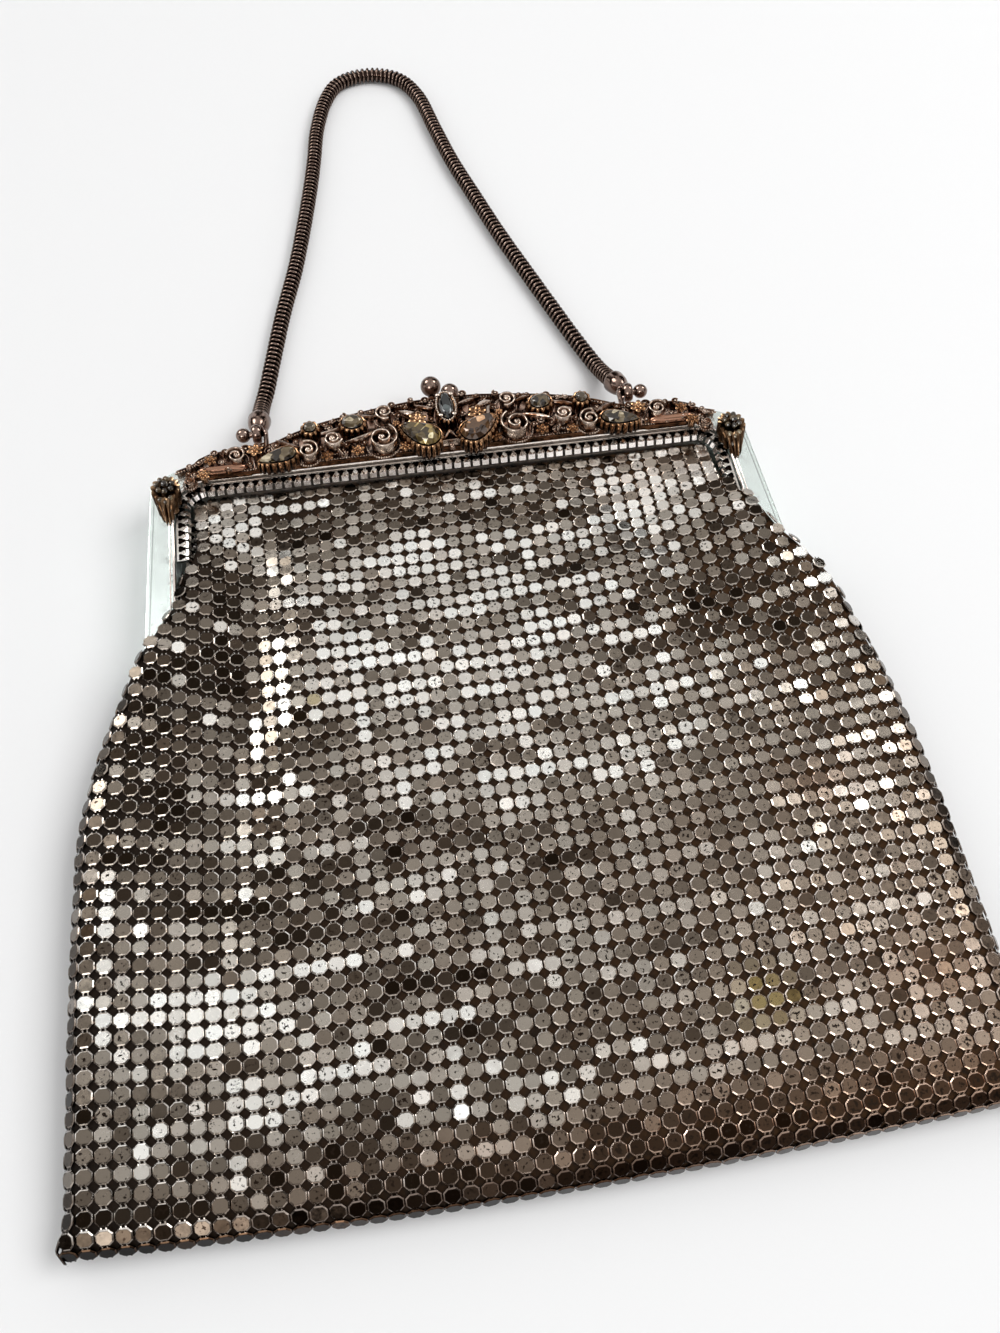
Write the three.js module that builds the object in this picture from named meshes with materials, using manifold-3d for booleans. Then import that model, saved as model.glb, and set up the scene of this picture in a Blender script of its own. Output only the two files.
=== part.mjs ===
// A metal mesh purse lying closed on its back, its snake chain laid out above it.
// Millimetres, +Z up. X runs across the purse and +Y from its bottom edge to the frame and chain.
// The origin is on the surface it lies on, under the middle of the mesh pouch.
import * as THREE from 'three';
import Module from 'manifold-3d';
import { mergeVertices } from 'three/addons/utils/BufferGeometryUtils.js';

const wasm = await Module();
wasm.setup();

// Driving dimensions

const clearance = 0.3; // between pieces that touch

// The frame, two stamped halves closed on each other
const frameHalfWidth = 76; // middle of the frame to the outside of a corner
const legSplay = 1; // how much further out the leg tips stand
const legWidth = 6.6;
const lipY = 86.7; // the straight inner edge that the mesh hangs under
const legTipY = 39;
const archRise = 19.3; // inner edge to the top of the arch
const innerCornerRadius = 8;
const halfDepth = 6.3; // thickness of one half, front to back
const sheetMetal = 1; // wall of the stamped halves
const lipWidth = 0.6;
const lipHeight = 0.3;

// The perforated strips inside the frame
const stripWidth = 2.8;
const stripThickness = 0.8;
const frontStripRecess = 2.5; // frame's front face down to the strip
const backStripRecess = 1;
const stripEndY = 64;
const holePitch = 2.35;
const holeRadius = 0.75;
const backHoleStep = 9; // the hidden strip has a hole at every ninth place

// The mesh pouch and its lining
const pouchBottomY = -84.8; // middle of the bottom edge
const bottomBow = 2.6; // how much higher the bottom corners are than its middle
const bowReach = 0.4; // share of the pouch's length over which the bow fades
const pouchHalfWidth = 94; // near the bottom, where its sides run straight
const pouchDepth = 12.5; // usual height of the mesh above the table
const meshWall = 1;
const liningWall = 1;
const lapLift = 0.3; // the mesh over the legs lies this far above them
const pouchToFrame = 1.237; // usual width of such a pouch to that of its frame
const liningShoulder = 30; // length over which the lining narrows below the hinges
const liningLift = 0.8; // the lining's bottom edge stays this much further up
const hingeRadius = 2.6;

// The cast ornament
const castBase = 0.9; // thickness of its base plate
const castEdge = 1.6; // the frame's top edge down to the base plate
const castHeight = 4.4; // base to the top of the scrolls
const castWall = 0.75; // wall of a scroll
const stoneSeat = 0.8; // how deep a stone sits in its gallery
const ribDepth = 0.35;

// Clasp, posts and chain
const frontBallRadius = 2.4;
const backBallRadius = 2.7;
const claspSpread = 2.3; // middle of the frame to each ball
const claspFootHalf = 1.6;
const frontBallRise = 3.1; // frame's top to the ball's centre
const backBallRise = 7.1;
const postX = 48.4; // middle of the chain's end eye
const postRise = 5.2; // frame's top wall to the stud
const studHeight = 11; // of the stud's axis above the table
const studRadius = 0.9;
const eyeWidth = 2.6;
const knobRadius = 1.9;
const lugWidth = 1.2;
const capLength = 9;
const capWall = 0.4;
const chainRadius = 2.2;

const frontFaceZ = 2 * halfDepth + clearance;
const archTopY = lipY + archRise;
const legInnerX = frameHalfWidth - legWidth;
const stripInset = clearance + stripWidth;
const pouchMouthY = lipY - stripInset - clearance;
const pouchLength = pouchMouthY - pouchBottomY;
const pouchInsideLegs = legInnerX - stripInset - clearance;
const hingeLowY = legTipY - 2 * (clearance + hingeRadius);

// Solids

function solidOf(geometry) {
  const plain = geometry.clone();
  plain.deleteAttribute('normal');
  plain.deleteAttribute('uv');
  const merged = mergeVertices(plain, 1e-4);
  return new wasm.Manifold(new wasm.Mesh({
    numProp: 3,
    vertProperties: new Float32Array(merged.attributes.position.array),
    triVerts: new Uint32Array(merged.index.array),
  }));
}

function geometryOf(solid) {
  const mesh = solid.getMesh();
  const geometry = new THREE.BufferGeometry();
  geometry.setAttribute('position', new THREE.BufferAttribute(new Float32Array(mesh.vertProperties), 3));
  geometry.setIndex(new THREE.BufferAttribute(new Uint32Array(mesh.triVerts), 1));
  const flat = geometry.toNonIndexed();
  flat.computeVertexNormals();
  return flat;
}

function union(solids) {
  return solids.reduce((all, solid) => all.add(solid));
}

function without(solid, cuts) {
  return cuts.reduce((left, cut) => left.subtract(cut), solid);
}

// Straight solid over a closed outline of [x, y] points, with optional holes
function prism(outline, low, high, holes = []) {
  const shape = new THREE.Shape(outline.map(([x, y]) => new THREE.Vector2(x, y)));
  for (const hole of holes) {
    shape.holes.push(new THREE.Path(hole.map(([x, y]) => new THREE.Vector2(x, y))));
  }
  const geometry = new THREE.ExtrudeGeometry(shape, { depth: high - low, bevelEnabled: false });
  geometry.translate(0, 0, low);
  return solidOf(geometry);
}

function box(xs, ys, zs) {
  const geometry = new THREE.BoxGeometry(xs[1] - xs[0], ys[1] - ys[0], zs[1] - zs[0]);
  geometry.translate((xs[0] + xs[1]) / 2, (ys[0] + ys[1]) / 2, (zs[0] + zs[1]) / 2);
  return solidOf(geometry);
}

function ball(radius, x, y, z) {
  const geometry = new THREE.SphereGeometry(radius, 10, 7);
  geometry.rotateX(Math.PI / 2);
  geometry.translate(x, y, z);
  return solidOf(geometry);
}

// Round rod between two points, straight or tapered
function rod(from, to, fromRadius, toRadius = fromRadius, sides = 10) {
  const start = new THREE.Vector3(...from);
  const along = new THREE.Vector3(...to).sub(start);
  const geometry = new THREE.CylinderGeometry(toRadius, fromRadius, along.length(), sides);
  geometry.translate(0, along.length() / 2, 0);
  const turn = new THREE.Quaternion().setFromUnitVectors(new THREE.Vector3(0, 1, 0), along.normalize());
  geometry.applyQuaternion(turn);
  geometry.translate(start.x, start.y, start.z);
  return solidOf(geometry);
}

// Closed body through rings of equally many points, each ring counter-clockwise seen from the last ring
function loft(rings) {
  const count = rings[0].length;
  const positions = rings.flat(2);
  const faces = [];
  for (let ring = 0; ring < rings.length - 1; ring += 1) {
    for (let i = 0; i < count; i += 1) {
      const next = (i + 1) % count;
      const a = ring * count + i;
      const b = ring * count + next;
      faces.push(a, b, b + count, a, b + count, a + count);
    }
  }
  const ends = [[rings[0], 0, true], [rings[rings.length - 1], (rings.length - 1) * count, false]];
  for (const [ring, first, turned] of ends) {
    const middle = positions.length / 3;
    for (const axis of [0, 1, 2]) {
      positions.push(ring.reduce((sum, point) => sum + point[axis], 0) / count);
    }
    for (let i = 0; i < count; i += 1) {
      const next = (i + 1) % count;
      faces.push(middle, first + (turned ? next : i), first + (turned ? i : next));
    }
  }
  const geometry = new THREE.BufferGeometry();
  geometry.setAttribute('position', new THREE.BufferAttribute(new Float32Array(positions), 3));
  geometry.setIndex(faces);
  return solidOf(geometry);
}

// Outlines

function mirrored(outline) {
  return outline.map(([x, y]) => [-x, y]).reverse();
}

// Moves each point of a closed counter-clockwise outline outwards, or inwards where it is negative
function offset(outline, distance) {
  return outline.map((point, i) => {
    const before = outline[(i + outline.length - 1) % outline.length];
    const after = outline[(i + 1) % outline.length];
    const inTangent = new THREE.Vector2(point[0] - before[0], point[1] - before[1]).normalize();
    const outTangent = new THREE.Vector2(after[0] - point[0], after[1] - point[1]).normalize();
    const tangent = inTangent.clone().add(outTangent).normalize();
    const reach = distance / Math.max(0.5, tangent.dot(inTangent));
    return [point[0] + tangent.y * reach, point[1] - tangent.x * reach];
  });
}

function ellipse(x, y, rx, ry, sides, turn = 0) {
  const points = [];
  for (let i = 0; i < sides; i += 1) {
    const angle = (i / sides) * 2 * Math.PI;
    const along = rx * Math.cos(angle);
    const across = ry * Math.sin(angle);
    points.push([
      x + along * Math.cos(turn) - across * Math.sin(turn),
      y + along * Math.sin(turn) + across * Math.cos(turn),
    ]);
  }
  return points;
}

// Pear outline whose tip points along the turn
function pear(x, y, length, width, sides, turn) {
  const points = [];
  for (let i = 0; i < sides; i += 1) {
    const angle = (i / sides) * 2 * Math.PI;
    const along = (length / 2) * Math.cos(angle);
    const across = (width / 2) * Math.sin(angle) * (1 - 0.42 * Math.cos(angle));
    points.push([
      x + along * Math.cos(turn) - across * Math.sin(turn),
      y + along * Math.sin(turn) + across * Math.cos(turn),
    ]);
  }
  return points;
}

// Every second point pushed out, which makes the ribs of a gallery or the petals of a rosette
function ribbed(outline, depth) {
  const outer = offset(outline, depth);
  return outline.map((point, i) => (i % 2 === 0 ? outer[i] : point));
}

// Frame halves

// Top edge of the plate from a corner to the middle
const ARCH = [
  { across: 0.99, up: -0.005 },
  { across: 0.961, up: 0.114 },
  { across: 0.921, up: 0.212 },
  { across: 0.845, up: 0.306 },
  { across: 0.824, up: 0.394 },
  { across: 0.789, up: 0.456 },
  { across: 0.737, up: 0.487 },
  { across: 0.605, up: 0.497 },
  { across: 0.566, up: 0.554 },
  { across: 0.516, up: 0.648 },
  { across: 0.434, up: 0.762 },
  { across: 0.342, up: 0.845 },
  { across: 0.237, up: 0.917 },
  { across: 0.118, up: 0.974 },
];

function onPlate(across, up) {
  return [across * frameHalfWidth, lipY + up * archRise];
}

// The frame's top edge at a distance from its middle
function archY(x) {
  const points = [...ARCH.map(({ across, up }) => onPlate(across, up)), [0, archTopY]];
  const next = points.findIndex((point) => point[0] <= Math.abs(x));
  const [x0, y0] = points[next - 1];
  const [x1, y1] = points[next];
  return y0 + ((x0 - Math.abs(x)) / (x0 - x1)) * (y1 - y0);
}

// Right half of the inner opening, from the leg's tip to the top, moved in by a distance
function openingEdge(inset, endY) {
  const radius = innerCornerRadius - inset;
  const edge = legInnerX - inset;
  const points = [[edge, endY]];
  for (let i = 0; i <= 4; i += 1) {
    const angle = (i / 4) * (Math.PI / 2);
    points.push([
      edge - radius + radius * Math.cos(angle),
      lipY - inset - radius + radius * Math.sin(angle),
    ]);
  }
  return points;
}

function bothSides(rightEdge) {
  return [...rightEdge, ...rightEdge.map(([x, y]) => [-x, y]).reverse()];
}

// Flat U between an outer and an inner edge, counter-clockwise
function arch(outerEdge, innerEdge) {
  return [...bothSides(outerEdge), ...bothSides(innerEdge).reverse()];
}

function frameOutline(wall) {
  const tipX = frameHalfWidth + legSplay;
  const outer = [[tipX, legTipY], ...ARCH.map(({ across, up }) => onPlate(across, up))];
  const whole = [...outer, [0, archTopY], ...outer.map(([x, y]) => [-x, y]).reverse()];
  const outline = [...whole, ...bothSides(openingEdge(0, legTipY)).reverse()];
  return wall === 0 ? outline : offset(outline, -wall);
}

function frameHalf(faceZ, backZ) {
  const [low, high] = [Math.min(faceZ, backZ), Math.max(faceZ, backZ)];
  const inward = Math.sign(backZ - faceZ);
  const floor = faceZ + inward * sheetMetal;
  const past = backZ + inward;
  const trough = prism(frameOutline(sheetMetal), Math.min(floor, past), Math.max(floor, past));
  return prism(frameOutline(0), low, high).subtract(trough);
}

function frontFrame() {
  const lip = arch(openingEdge(-lipWidth, legTipY + lipWidth), openingEdge(0, legTipY + lipWidth));
  const plate = frameHalf(frontFaceZ, halfDepth + clearance);
  return plate.add(prism(lip, frontFaceZ - sheetMetal / 2, frontFaceZ + lipHeight));
}

function backFrame() {
  return frameHalf(0, halfDepth);
}

// Perforated strips

function pointAlong(path, distance) {
  let left = distance;
  for (let i = 0; i < path.length - 1; i += 1) {
    const [x0, y0] = path[i];
    const [x1, y1] = path[i + 1];
    const length = Math.hypot(x1 - x0, y1 - y0);
    if (left <= length) {
      const share = left / length;
      return { x: x0 + (x1 - x0) * share, y: y0 + (y1 - y0) * share, turn: Math.atan2(y1 - y0, x1 - x0) };
    }
    left -= length;
  }
  return null;
}

function meshStrip(topZ, step) {
  const outer = openingEdge(clearance, stripEndY);
  const inner = openingEdge(stripInset, stripEndY);
  const middle = bothSides(openingEdge(clearance + stripWidth * 0.55, stripEndY));
  const holes = [];
  for (let distance = holePitch; pointAlong(middle, distance + holePitch / 2); distance += holePitch * step) {
    const { x, y, turn } = pointAlong(middle, distance);
    const hole = ellipse(x, y, holeRadius, holeRadius, 4, turn + Math.PI / 4);
    holes.push(prism(hole, topZ - 2 * stripThickness, topZ + stripThickness));
  }
  return without(prism(arch(outer, inner), topZ - stripThickness, topZ), holes);
}

function hingePin(side) {
  const y = legTipY - clearance - hingeRadius;
  const z = halfDepth + clearance / 2;
  return rod([side * (legInnerX + 1), y, z], [side * (frameHalfWidth + legSplay), y, z], hingeRadius);
}

// Mesh pouch and lining

// Sections from the bottom edge to the mouth. Widths are shares of pouchHalfWidth, or where the frame
// holds the mesh, of frameHalfWidth times pouchToFrame; held says how much it does. Heights and the
// rounding of the sides are shares of pouchDepth, and at is a share of the pouch's length.
const SECTIONS = [
  { at: 0, held: 0, left: 1, right: 0.988, low: 0.24, high: 0.5, round: 0.1 },
  { at: 0.008, held: 0, left: 1.011, right: 0.999, low: 0.08, high: 0.66, round: 0.26 },
  { at: 0.03, held: 0, left: 1.002, right: 0.991, low: 0, high: 0.77, round: 0.3 },
  { at: 0.1, held: 0, left: 0.999, right: 0.99, low: 0, high: 0.85, round: 0.36 },
  { at: 0.24, held: 0, left: 0.997, right: 0.99, low: 0, high: 0.93, round: 0.4 },
  { at: 0.4, held: 0.05, left: 0.992, right: 0.986, low: 0, high: 0.98, round: 0.42 },
  { at: 0.5, held: 0.15, left: 0.982, right: 0.978, low: 0, high: 1, round: 0.42 },
  { at: 0.56, held: 0.25, left: 0.96, right: 0.966, low: 0, high: 1.02, round: 0.42 },
  { at: 0.62, held: 0.35, left: 0.93, right: 0.95, low: 0, high: 1.03, round: 0.42 },
  { at: 0.67, held: 0.45, left: 0.894, right: 0.932, low: 0, high: 1.05, round: 0.36 },
  { at: 0.7, held: 0.55, left: 0.872, right: 0.921, low: 0, high: 1.06, round: 0.28 },
  { at: 0.735, held: 0.65, left: 0.84, right: 0.9, low: 0, high: 1.07, round: 0.22 },
  { at: 0.775, held: 0.8, left: 0.79, right: 0.856, low: 0, high: 1.065, round: 0.17 },
  { at: 0.82, held: 1, left: 0.748, right: 0.802, low: 0, high: 1.04, round: 0.14 },
  { at: 0.86, held: 1, left: 0.736, right: 0.776, low: 0, high: 1.01, round: 0.12 },
  { at: 0.9, held: 1, left: 0.703, right: 0.735, low: 0, high: 0.97, round: 0.12 },
  { at: 0.93, held: 1, left: 0.7, right: 0.705, low: 0.01, high: 0.93, round: 0.12 },
  { at: 0.955, held: 1, left: 0.697, right: 0.698, low: 0.03, high: 0.89, round: 0.12 },
  { at: 0.98, held: 1, left: 0.69, right: 0.69, low: 0.06, high: 0.86, round: 0.12 },
  { at: 1, held: 1, left: 0.65, right: 0.65, low: 0.08, high: 0.83, round: 0.12 },
];

// Folds and swellings of the upper side. x, long and wide are shares of frameHalfWidth, y is a share of
// the pouch's length from its bottom and height of pouchDepth; turn is in degrees.
const FOLDS = [
  { x: -0.952, y: 0.76, long: 0.21, wide: 0.186, turn: 90, height: 0.17 }, // left shoulder over the leg
  { x: 0.94, y: 0.84, long: 0.247, wide: 0.186, turn: 90, height: 0.21 }, // right shoulder over the leg
  { x: -0.68, y: 0.75, long: 0.371, wide: 0.087, turn: 82, height: -0.13 }, // crease below the left corner
  { x: -0.569, y: 0.72, long: 0.519, wide: 0.111, turn: 84, height: 0.07 },
  { x: -0.767, y: 0.5, long: 0.371, wide: 0.099, turn: 76, height: -0.07 },
  { x: 0.618, y: 0.82, long: 0.421, wide: 0.111, turn: 118, height: -0.08 }, // sag below the right corner
  { x: 0.025, y: 0.83, long: 0.618, wide: 0.099, turn: 3, height: -0.06 }, // slack across, under the frame
  { x: 0.124, y: 0.68, long: 0.68, wide: 0.124, turn: -4, height: 0.05 },
  { x: -0.124, y: 0.42, long: 0.618, wide: 0.148, turn: 10, height: -0.05 },
  { x: 0.557, y: 0.3, long: 0.495, wide: 0.173, turn: 40, height: 0.05 },
  { x: -0.495, y: 0.15, long: 0.495, wide: 0.148, turn: -15, height: 0.04 },
];

function foldHeight(x, y) {
  let sum = 0;
  for (const fold of FOLDS) {
    const dx = x / frameHalfWidth - fold.x;
    const dy = (y - pouchBottomY - fold.y * pouchLength) / frameHalfWidth;
    const turn = THREE.MathUtils.degToRad(fold.turn);
    const along = (dx * Math.cos(turn) + dy * Math.sin(turn)) / fold.long;
    const across = (dy * Math.cos(turn) - dx * Math.sin(turn)) / fold.wide;
    sum += fold.height * pouchDepth * Math.exp(-along * along - across * across);
  }
  return sum;
}

const topSteps = 10;
const bottomSteps = 2;
const cornerSteps = 2;
const thinnest = 0.6; // least height of a ring
const liningSlack = 0.8; // more room above the lining than beside it

// How far the bowed bottom edge lifts a point of a section
function bowRise(x, at) {
  const share = x / pouchHalfWidth;
  return bottomBow * share * share * Math.max(0, 1 - at / bowReach);
}

// One closed ring of the pouch, moved in from its surface by inset
function pouchRing(section, y, inset) {
  const unit = pouchHalfWidth + section.held * (pouchToFrame * frameHalfWidth - pouchHalfWidth);
  const left = section.left * unit - inset;
  const right = section.right * unit - inset;
  const slack = inset > meshWall ? liningSlack * Math.min(1, 0.4 + 10 * (1 - section.at)) : 0;
  const bottom = section.low * pouchDepth + inset;
  const top = section.high * pouchDepth - inset - slack;
  const spare = Math.max(0, (thinnest - top + bottom) / 2);
  const [low, high] = [bottom - spare, top + spare];
  const radius = Math.min(Math.max(section.round * pouchDepth - inset, 0.5), (high - low) / 2.05);
  const outline = [];
  const line = (x0, x1, z, steps) => {
    for (let i = 1; i < steps; i += 1) {
      outline.push([x0 + ((x1 - x0) * i) / steps, z]);
    }
  };
  const corner = (x, z, from) => {
    for (let i = 0; i <= cornerSteps; i += 1) {
      const angle = from + (i / cornerSteps) * (Math.PI / 2);
      outline.push([x + radius * Math.cos(angle), z + radius * Math.sin(angle)]);
    }
  };
  line(-left + radius, right - radius, low, bottomSteps);
  corner(right - radius, low + radius, -Math.PI / 2);
  corner(right - radius, high - radius, 0);
  line(right - radius, -left + radius, high, topSteps);
  corner(-left + radius, high - radius, Math.PI / 2);
  corner(-left + radius, low + radius, Math.PI);
  return outline.map(([x, z]) => {
    const lift = (foldHeight(x, y) * (z - low)) / (high - low);
    return [x, y + bowRise(x, section.at), z + lift];
  });
}

// The pouch's body moved in by inset, from a rise above its bottom edge to endY, through its sections
function pouchBody(inset, rise, endY, sections = SECTIONS) {
  const rings = sections.map((section) => {
    const y = pouchBottomY + section.at * pouchLength + rise * Math.max(0, 1 - 5 * section.at);
    return pouchRing(section, section.at === 1 ? endY : y, inset);
  });
  return loft(rings.reverse());
}

// Room that the pouch leaves for the legs, the strips and the hinge pins
function legRoom(side) {
  const across = (a, b) => [Math.min(side * a, side * b), Math.max(side * a, side * b)];
  const outerX = frameHalfWidth + legSplay + clearance;
  const lapZ = frontFaceZ + lipHeight + lapLift;
  const leg = box(across(legInnerX - clearance, outerX), [hingeLowY, archTopY], [-1, lapZ]);
  const strip = box(
    across(pouchInsideLegs, legInnerX),
    [stripEndY - clearance, archTopY],
    [-1, frontFaceZ - frontStripRecess + clearance],
  );
  return leg.add(strip);
}

function meshPouch() {
  const outside = pouchBody(0, 0, pouchMouthY);
  const inside = pouchBody(meshWall, meshWall, pouchMouthY + 2);
  return without(outside, [inside, legRoom(-1), legRoom(1)]);
}

// Between the legs, spreading below their hinges
function liningOutline(inset) {
  const edge = pouchInsideLegs - meshWall - 3 * clearance;
  const widest = pouchHalfWidth - meshWall - 2 * clearance;
  const right = [
    [widest, pouchBottomY - 1],
    [widest, hingeLowY - liningShoulder],
    [edge, hingeLowY - liningShoulder / 10],
    [edge, lipY],
  ];
  return offset([...right, ...mirrored(right)], -inset);
}

function lining() {
  const outer = meshWall + clearance;
  const inner = outer + liningWall;
  const sections = SECTIONS.filter((_, i) => i === 0 || i === 2 || (i > 2 && i % 2 === 1));
  const between = (inset) => prism(liningOutline(inset), -1, 2 * pouchDepth);
  const bag = pouchBody(outer, 2 * outer + liningLift, pouchMouthY, sections).intersect(between(0));
  const inside = pouchBody(inner, 2 * inner + liningLift, pouchMouthY + 2, sections);
  const hollow = inside.intersect(between(liningWall));
  return bag.subtract(hollow);
}

// Cast ornament on the front plate. Places are shares across frameHalfWidth and up archRise,
// sizes are shares of archRise, tops are shares of castHeight and turns are in degrees.

const SCROLLS = [
  { across: 0.701, up: 0.212, radius: 0.14, top: 0.85, curl: 20 },
  { across: 0.468, up: 0.161, radius: 0.155, top: 0.9, curl: 70 },
  { across: 0.383, up: 0.28, radius: 0.13, top: 1, curl: 200 },
  { across: 0.222, up: 0.215, radius: 0.215, top: 1, curl: 120 },
  { across: 0.205, up: 0.64, radius: 0.135, top: 0.95, curl: 250 },
  { across: 0.855, up: -0.08, radius: 0.08, top: 0.6, curl: 150 },
];

const ROSETTES = [
  { across: 0.638, up: 0.26, radius: 0.105, top: 0.9 },
  { across: 0.408, up: 0.085, radius: 0.085, top: 0.6 },
  { across: 0.307, up: 0.115, radius: 0.09, top: 0.65 },
  { across: 0.15, up: 0.09, radius: 0.085, top: 0.65 },
  { across: 0.1, up: 0.44, radius: 0.12, top: 1.05 },
  { across: 0.808, up: -0.02, radius: 0.09, top: 0.75 },
  { across: 0.172, up: 0.42, radius: 0.05, top: 1 },
  { across: 0.785, up: 0.22, radius: 0.085, top: 0.65 },
];

const LEAVES = [
  { across: 0.742, up: 0.07, long: 0.6, wide: 0.14, turn: 2, top: 0.65 },
  { across: 0.128, up: 0.59, long: 0.24, wide: 0.09, turn: 15, top: 1 },
  { across: 0.295, up: 0.3, long: 0.42, wide: 0.07, turn: -18, top: 0.85 },
  { across: 0.53, up: 0.36, long: 0.36, wide: 0.1, turn: 28, top: 0.6 },
  { across: 0.385, up: 0.52, long: 0.5, wide: 0.08, turn: -14, top: 0.6 },
  { across: 0.265, up: 0.67, long: 0.26, wide: 0.08, turn: 10, top: 0.65 },
  { across: 0.07, up: 0.71, long: 0.3, wide: 0.08, turn: 20, top: 0.7 },
];

// Stones in pairs, one on each side
const STONES = [
  { name: 'pear_stone', form: 'pear', across: 0.098, up: 0.19, long: 0.57, wide: 0.33, turn: 33, top: 1 },
  { name: 'long_stone', form: 'pear', across: 0.566, up: 0.1, long: 0.5, wide: 0.22, turn: -14, top: 0.85 },
  { name: 'oval_stone', form: 'ellipse', across: 0.314, up: 0.5, long: 0.3, wide: 0.24, turn: 8, top: 1 },
  { name: 'round_stone', form: 'ellipse', across: 0.454, up: 0.49, long: 0.18, wide: 0.18, turn: 0, top: 1 },
];

const NAVETTE = {
  name: 'navette_stone', form: 'ellipse', across: 0, up: 0.56, long: 0.46, wide: 0.22, turn: 90, top: 1.15,
};

// Round cluster at each corner, and the fluted apron that runs down from it to a tip on the leg
const SHELL = {
  name: 'shell_stone', form: 'ellipse', across: 0.928, up: -0.2, long: 0.29, wide: 0.29, turn: -88, top: 0.95,
};
const SHELL_APRON = { form: 'pear', across: 0.928, up: -0.33, long: 0.58, wide: 0.3, turn: -88 };

const galleryRim = 0.6; // wall round a seated stone
const stoneSides = 10;
const crownShare = 0.25; // crown height of a stone to its width
const castFootZ = frontFaceZ + lipHeight + clearance;
const castRootZ = castFootZ + castBase / 2; // where the raised work starts, inside the base plate

function stoneOutline(stone, grow, sides) {
  const [x, y] = onPlate(stone.across, stone.up);
  const long = stone.long * archRise + 2 * grow;
  const wide = stone.wide * archRise + 2 * grow;
  const turn = THREE.MathUtils.degToRad(stone.turn);
  if (stone.form === 'pear') {
    return pear(x, y, long, wide, sides, turn);
  }
  return ellipse(x, y, long / 2, wide / 2, sides, turn);
}

// Points round a gallery, every second one a rib
function galleryPoints(stone) {
  return 2 * Math.round(((stone.long + stone.wide) * archRise) / 2.1);
}

function gallery(stone) {
  const outline = stoneOutline(stone, galleryRim, galleryPoints(stone));
  return prism(ribbed(outline, ribDepth), castRootZ, castFootZ + stone.top * castHeight);
}

// Room for a seated stone, from its seat upwards
function stoneRoom(stone) {
  const seat = castFootZ + stone.top * castHeight - stoneSeat;
  return prism(stoneOutline(stone, 0.1, stoneSides), seat, castFootZ + 3 * castHeight);
}

// A cut stone: small flat underside, girdle, sloping crown and a table
function cutStone(stone) {
  const low = castFootZ + stone.top * castHeight - stoneSeat + clearance;
  const width = stone.wide * archRise;
  const levels = [
    { grow: -0.24 * width, z: low },
    { grow: -clearance, z: low + 0.6 },
    { grow: -clearance - 0.2 * width, z: low + 0.6 + crownShare * width },
  ];
  return loft(levels.map(({ grow, z }) => stoneOutline(stone, grow, stoneSides).map(([x, y]) => [x, y, z])));
}

// Open cup with a curl inside it, as a scroll of cast wire
function scroll({ across, up, radius, top, curl, hand = 1 }) {
  const [x, y] = onPlate(across, up);
  const reach = radius * archRise;
  const high = castFootZ + top * castHeight;
  const ring = prism(ellipse(x, y, reach, reach, 9), castRootZ, high, [
    ellipse(x, y, reach - castWall, reach - castWall, 6),
  ]);
  const inside = [];
  const outside = [];
  for (let i = 0; i <= 3; i += 1) {
    const angle = THREE.MathUtils.degToRad(curl + hand * i * 60);
    const middle = (reach - castWall / 2) * (1 - 0.19 * i);
    const at = (distance) => [x + distance * Math.cos(angle), y + distance * Math.sin(angle)];
    outside.push(at(middle + castWall / 2));
    inside.push(at(middle - castWall / 2));
  }
  return ring.add(prism([...outside, ...inside.reverse()], castRootZ, high - 0.2));
}

function rosette({ across, up, radius, top }) {
  const [x, y] = onPlate(across, up);
  const reach = radius * archRise;
  const high = castFootZ + top * castHeight;
  const ring = (scale, z) => ribbed(ellipse(x, y, reach * scale, reach * scale, 8), reach * 0.18 * scale)
    .map(([px, py]) => [px, py, z]);
  return loft([ring(1, castRootZ), ring(0.8, high)]);
}

function leaf({ across, up, long, wide, turn, top }) {
  const [x, y] = onPlate(across, up);
  const angle = THREE.MathUtils.degToRad(turn);
  const high = castFootZ + top * castHeight;
  const [rx, ry] = [(long * archRise) / 2, (wide * archRise) / 2];
  const ring = (scale, z) => ellipse(x, y, rx * scale, ry * scale, 6, angle).map(([px, py]) => [px, py, z]);
  return loft([ring(1, castRootZ), ring(0.8, high)]);
}

// Open triangle below the middle stone
function triangleSetting() {
  const [x, y] = onPlate(0, 0.12);
  const reach = 0.12 * archRise;
  const high = castFootZ + 0.8 * castHeight;
  return prism(ellipse(x, y, reach, reach, 3, Math.PI / 2), castRootZ, high, [
    ellipse(x, y, reach * 0.5, reach * 0.5, 3, Math.PI / 2),
  ]);
}

// Where the base plate's top edge turns, across the frame, and the tab that it sends into each corner
const PLATE_TURNS = [0.86, 0.8, 0.72, 0.62, 0.56, 0.5, 0.42, 0.3, 0.18, 0.06];
const CORNER_TAB = [
  { across: 0.79, up: 0.1 },
  { across: 0.795, up: -0.08 },
  { across: 0.84, up: -0.15 },
  { across: 0.88, up: -0.14 },
  { across: 0.888, up: -0.01 },
  { across: 0.865, up: 0.1 },
];

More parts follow.
